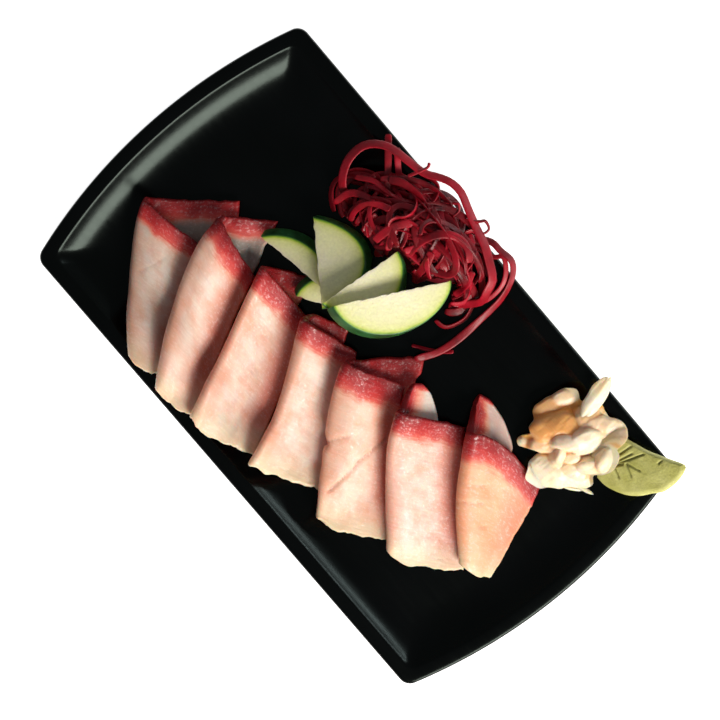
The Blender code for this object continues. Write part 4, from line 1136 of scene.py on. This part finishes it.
def lobe_places(x, y):
    """For each lobe: r = (|u|^2.4 + |v|^2.4)^(1/2.4), 1 at its rim, and the way across it."""
    shares, ways = [], []
    for number, lobe in enumerate(LOBES):
        off = np.stack([x, y], -1) - lobe.centre[:2]
        across = off @ direction(lobe.heading + 90)
        along = off @ direction(lobe.heading)
        share = (np.abs(along / lobe.length) ** LOBE_POWER
                 + np.abs(across / lobe.width) ** LOBE_POWER)
        wobble = 1 + 0.09 * noise(x, y, 0, 4.5, 600 + number)
        shares.append(share ** (1 / LOBE_POWER) * wobble)
        ways.append(across)
    return np.array(shares), np.array(ways)


def heap_height(x, y):
    """Height and orange share: ovals z + lean v - dome r^2, a rounded lip, then a steep fall.

    The ovals are joined by k ln(sum(exp(z / k))), which rounds the creases between them.
    """
    share, across = lobe_places(x, y)
    spread = (len(LOBES),) + (1,) * x.ndim
    top, dome_height, lean, width, orange = (
        np.reshape(values, spread) for values in zip(*(
            (lobe.centre[2], lobe.dome, lobe.lean, lobe.width, lobe.orange) for lobe in LOBES)))
    inland = np.clip((1 - share) * width / LOBE_LIP, 0, 1)
    lip = LOBE_DROP * (1 - np.sqrt(1 - (1 - inland) ** 2))
    outside = LOBE_FALL * np.maximum(share - 1, 0) * width
    height = top + lean * across - dome_height * np.minimum(share, 1) ** 2 - lip - outside
    highest = height.max(axis=0)
    weight = np.exp((height - highest) / LOBE_BLEND)
    total = weight.sum(axis=0)
    return highest + LOBE_BLEND * np.log(total), np.sum(orange * weight, axis=0) / total


def heap_surface():
    """Rings over the lobes' joint outline, a layered side, and a flat close on what is below."""
    angle = np.linspace(0, 2 * np.pi, HEAP_ANGLES, endpoint=False)

    def at(reach):
        return HEAP_CENTRE[0] + reach * np.cos(angle), HEAP_CENTRE[1] + reach * np.sin(angle)

    ways = np.arange(*HEAP_REACH, 0.25)[:, None]
    inside = lobe_places(*at(ways))[0]
    radius = np.max(np.where(inside.min(axis=0) < 0.98, ways, 0), axis=0)
    for _ in range(6):
        radius = (np.roll(radius, 1) + 2 * radius + np.roll(radius, -1)) / 4

    level = ground.draped(SOFT_REACH)
    x, y = at(np.linspace(0, 1, HEAP_RINGS)[:, None] ** 0.8 * radius)
    low = ground.sample(level, x, y) + HEAP_OVER
    height, orange = heap_height(x, y)
    evened = height
    for _ in range(HEAP_EVENING):
        evened = (np.roll(evened, 1, 1) + np.roll(evened, -1, 1) + evened[np.r_[0, :len(evened) - 1]]
                  + evened[np.r_[1:len(evened), len(evened) - 1]]) / 4
    # Painted shade and light: more orange in the creases, less on the crests
    in_crease = 0.5 * ease((evened - height) / 1.2)
    on_crest = 0.15 * ease((height - evened) / 0.8)
    orange = np.clip(orange + in_crease - on_crest, 0, 1)
    height = height + 0.35 * noise(x, y, 0, 3.6, 610) + 0.10 * noise(x, y * 0.4, 0, 1.1, 611)
    height = np.maximum(height, low + HEAP_LEAST)
    down = np.linspace(0, 1, HEAP_SIDES)[1:, None]
    z = height[-1] + (low[-1] - height[-1]) * down
    layers = 1.1 * noise(20 * np.cos(angle), 20 * np.sin(angle), 2.2 * z, 4.5, 612)
    side = at(radius + (0.2 + 0.8 * layers) * np.sin(np.pi * down) ** 0.5 - HEAP_FOOT * down)
    foot = 1 - HEAP_FOOT / radius
    under = np.stack([HEAP_CENTRE[0] + (x - HEAP_CENTRE[0]) * foot,
                      HEAP_CENTRE[1] + (y - HEAP_CENTRE[1]) * foot, low], -1)
    rows = np.concatenate([under, np.stack([*side, z], -1)[::-1],
                           np.stack([x, y, height], -1)[::-1]])
    shades = np.concatenate([0 * x + 0.8, 0 * z + 0.35, orange[::-1]])
    return rows, shades


# %% [markdown]
# A curled petal stands up at the far end of the heap, and two torn threads lie at its foot.
# Each is an oval sheet, domed, with a crease or two along it and a rim that ruffles a little.

# %% Petals that stick out
PETAL_COLUMNS, PETAL_ROWS, PETAL_CLEARANCE, PETAL_THICKNESS = 64, 48, 0.9, 1.4
Petal = namedtuple("Petal", "centre heading pitch roll length width dome ruffle orange")
PETALS = (
    Petal((90, 80, 24.0), 111, 16, 14, 25, 9.5, 2.6, 0.3, 0.0),
    Petal((123, 46, 11.5), 20, -4, 6, 12, 2.4, 0.6, 0.5, 0.0),
    Petal((120, 42, 11.0), 38, -6, 4, 9, 2.0, 0.5, 0.5, 0.0))


def petal_surface(number, form):
    """Oval sheet: z = dome (1 - u^2 - v^2) plus creases sin(6v + 2u), ruffled at the rim."""
    u, v = np.meshgrid(np.linspace(-1, 1, PETAL_COLUMNS), np.linspace(-1, 1, PETAL_ROWS),
                       indexing="ij")
    breadth = np.sqrt(np.maximum(1 - 0.985 * np.abs(u) ** 2.0, 0))
    rim = np.maximum(np.abs(u) ** 3, np.abs(v) ** 3)
    wobble = 1 + 0.12 * noise(3 * u, 3 * v, 0, 1.2, 500 + number) * rim
    x = form.length / 2 * u * wobble
    y = form.width / 2 * v * breadth * wobble
    z = form.dome * (0.55 - 0.45 * u ** 2 - v ** 2 * breadth)
    z = z + 0.09 * form.dome * np.sin(6.0 * v + 2.0 * u + number)
    z = z + form.ruffle * rim * noise(x, y, 0, 4.5, 520 + number)
    z = z + 0.35 * noise(x, y, 0, 3.0, 560 + number)
    middle = turned(np.stack([x, y, z], -1), form.heading, form.pitch, form.roll)
    middle = middle + np.array(form.centre)
    floor = ground.sample(petal_ground, middle[..., 0], middle[..., 1]) + PETAL_CLEARANCE
    over = middle[..., 2] - floor
    middle[..., 2] = floor + np.where(over > 2, over, 2 * np.exp(np.minimum(over - 2, 0) / 2))
    edge = np.minimum((1 - np.abs(u)) * form.length, (1 - np.abs(v)) * form.width * breadth) / 2
    half = PETAL_THICKNESS / 2 * np.sqrt(np.clip(edge / 1.0, 0.03, 1))
    half = half + 0.07 * noise(x * 0.3, y, 0, 0.8, 540 + number) * (edge > 0.6)
    return thick_sheet(middle, normals(middle), half, half)


# %% [markdown]
# The petals are cream, wet and clearly see-through: petals with others behind them turn
# orange, single ones stay nearly white. Part of that is light scattering inside them. The rest
# is a share of orange that each lobe and petal keeps, which also paints the shade: more orange
# on the lobes away from the light and in the creases, less on the crests. Long fibres of the
# root show as fine lines.

# %% Ginger, shaved and pickled


def pickled_ginger():
    """Pickled ginger: scattering 4 mm deep, fibres 0.6 mm apart, a wet film over it."""
    material, tree = new_material("ginger_shaved_pickled")
    place = object_place(tree)
    stretched = add(tree, "Mapping", {"Vector": place, "Rotation": (0, 0, 0.9),
                                      "Scale": (250.0, 1600.0, 900.0)})
    fibres = spots(tree, stretched, 1.0, 3.0)
    tone = ramp(tree, spots(tree, place, 10 * MM, 3.0),
                [(0.3, "eed9b4"), (0.5, "f2e1c4"), (0.7, "f5e9d4")])
    tone = blend(tree, measure(tree, "orange"), tone, "e9a75e")
    return finished(material, {
        "Base Color": shaded(tree, tone, fibres, 0.3, 0.7, 0.95, 1.04),
        "Normal": bumped(tree, fibres, 0.3 * MM, 0.5), "Roughness": 0.38, "IOR": 1.36,
        "Coat Weight": 0.2, "Coat Roughness": 0.2},
                    scatter=(0.6, (1.0, 0.5, 0.2), 4.0))


ginger = pickled_ginger()
heap_rows, heap_orange = heap_surface()
surface("ginger_heap", heap_rows, grid_quads(len(heap_rows), HEAP_ANGLES, around=True), ginger,
        "pickled_ginger", "ginger", orange=heap_orange)
petal_ground = ground.draped(SOFT_REACH)
petals = np.array([petal_surface(number, form) for number, form in enumerate(PETALS)])
one_petal = sheet_faces(PETAL_COLUMNS, PETAL_ROWS)
petal_faces = np.concatenate([one_petal + k * petals.shape[1] for k in range(len(petals))])
oranges = np.repeat([form.orange for form in PETALS], petals.shape[1])
surface("ginger_petals", petals, petal_faces, ginger, "pickled_ginger", "ginger", orange=oranges)

# %% [markdown]
# ## Studio
#
# The picture was taken from about 70 cm, nearly straight down. One hard-edged soft light stands
# low at the wasabi's end and throws each slice's shade onto the one before. A weaker one
# from the far long side draws the thin lines on the near rim. The sky is kept dim, because
# the black plate would mirror it.

# %% Camera, lights and floor


# Camera fitted to the plate's outline: its place in metres and its three directions
CAMERA_PLACE, CAMERA_LENS, CAMERA_SENSOR = (-0.02950, 0.07400, 0.71372), 70.0, 36.0
CAMERA_RIGHT, CAMERA_UP = (0.648656, 0.759471, -0.049488), (-0.759865, 0.642572, -0.098524)
CAMERA_FORWARD = (0.043027, -0.101513, -0.993903)
# Lights: name, place in metres, size in metres, power in watts, colour
LIGHTS = (("key_softbox", (0.85, -0.12, 0.66), (0.66, 0.42), 16.5, "fff8f0"),
          ("far_strip", (0.20, 1.10, 0.45), (0.50, 0.06), 2.0, "f6f8ff"))
SKY_COLOUR, SKY_STRENGTH = "e8ecf2", 0.2


def placed(name, data):
    """New object in the scene."""
    made = bpy.data.objects.new(name, data)
    bpy.context.scene.collection.objects.link(made)
    return made


def look_from(place, right, up, forward):
    """Camera matrix from its place and its three directions."""
    return Matrix([[right[k], up[k], -forward[k], place[k]] for k in range(3)] + [[0, 0, 0, 1]])


def softbox(name, place, size, power, colour):
    """Rectangular area light at a place in metres, its width level, turned to the plate."""
    light = bpy.data.lights.new(name, "AREA")
    light.shape = "RECTANGLE"
    light.size, light.size_y = size
    light.energy = power
    light.color = linear(colour)[:3]
    away = unit(np.array(place))
    right = unit(np.cross((0, 0, 1.0), away))
    placed(name, light).matrix_world = look_from(place, right, np.cross(away, right), -away)


camera = placed("camera", bpy.data.cameras.new("camera"))
camera.data.lens = CAMERA_LENS
camera.data.sensor_width = CAMERA_SENSOR
camera.data.clip_end = 20.0
camera.matrix_world = look_from(CAMERA_PLACE, CAMERA_RIGHT, CAMERA_UP, CAMERA_FORWARD)
bpy.context.scene.camera = camera
for light_values in LIGHTS:
    softbox(*light_values)

world = bpy.data.worlds.new("studio_air")
bpy.context.scene.world = world
world.use_nodes = True
put(world.node_tree, world.node_tree.nodes["Background"],
    {"Color": linear(SKY_COLOUR), "Strength": SKY_STRENGTH})


def studio_floor():
    """Light table, 6 m across: white acrylic lit from below, so the shadows nearly vanish."""
    x, y = np.meshgrid(np.linspace(-3, 3, 5), np.linspace(-3, 3, 5), indexing="ij")
    mesh = bpy.data.meshes.new("studio_floor")
    corners = np.stack([x, y, 0 * x - 0.0002], -1).reshape(-1, 3)
    mesh.from_pydata(corners.tolist(), [], grid_quads(5, 5).tolist())
    material, tree = new_material("acrylic_opal_lit")
    tooth = spots(tree, object_place(tree), 2 * MM)
    tone = ramp(tree, tooth, [(0.3, "f6f6f6"), (0.7, "fbfbfb")])
    mesh.materials.append(finished(material, {
        "Base Color": tone, "Roughness": 0.9, "Emission Color": tone, "Emission Strength": 0.95}))
    floor = placed("studio_floor", mesh)


studio_floor()
bpy.context.scene.view_settings.view_transform = "Standard"
bpy.context.scene.view_settings.look = "None"
print("studio: a camera, a floor and", len(LIGHTS), "lights")
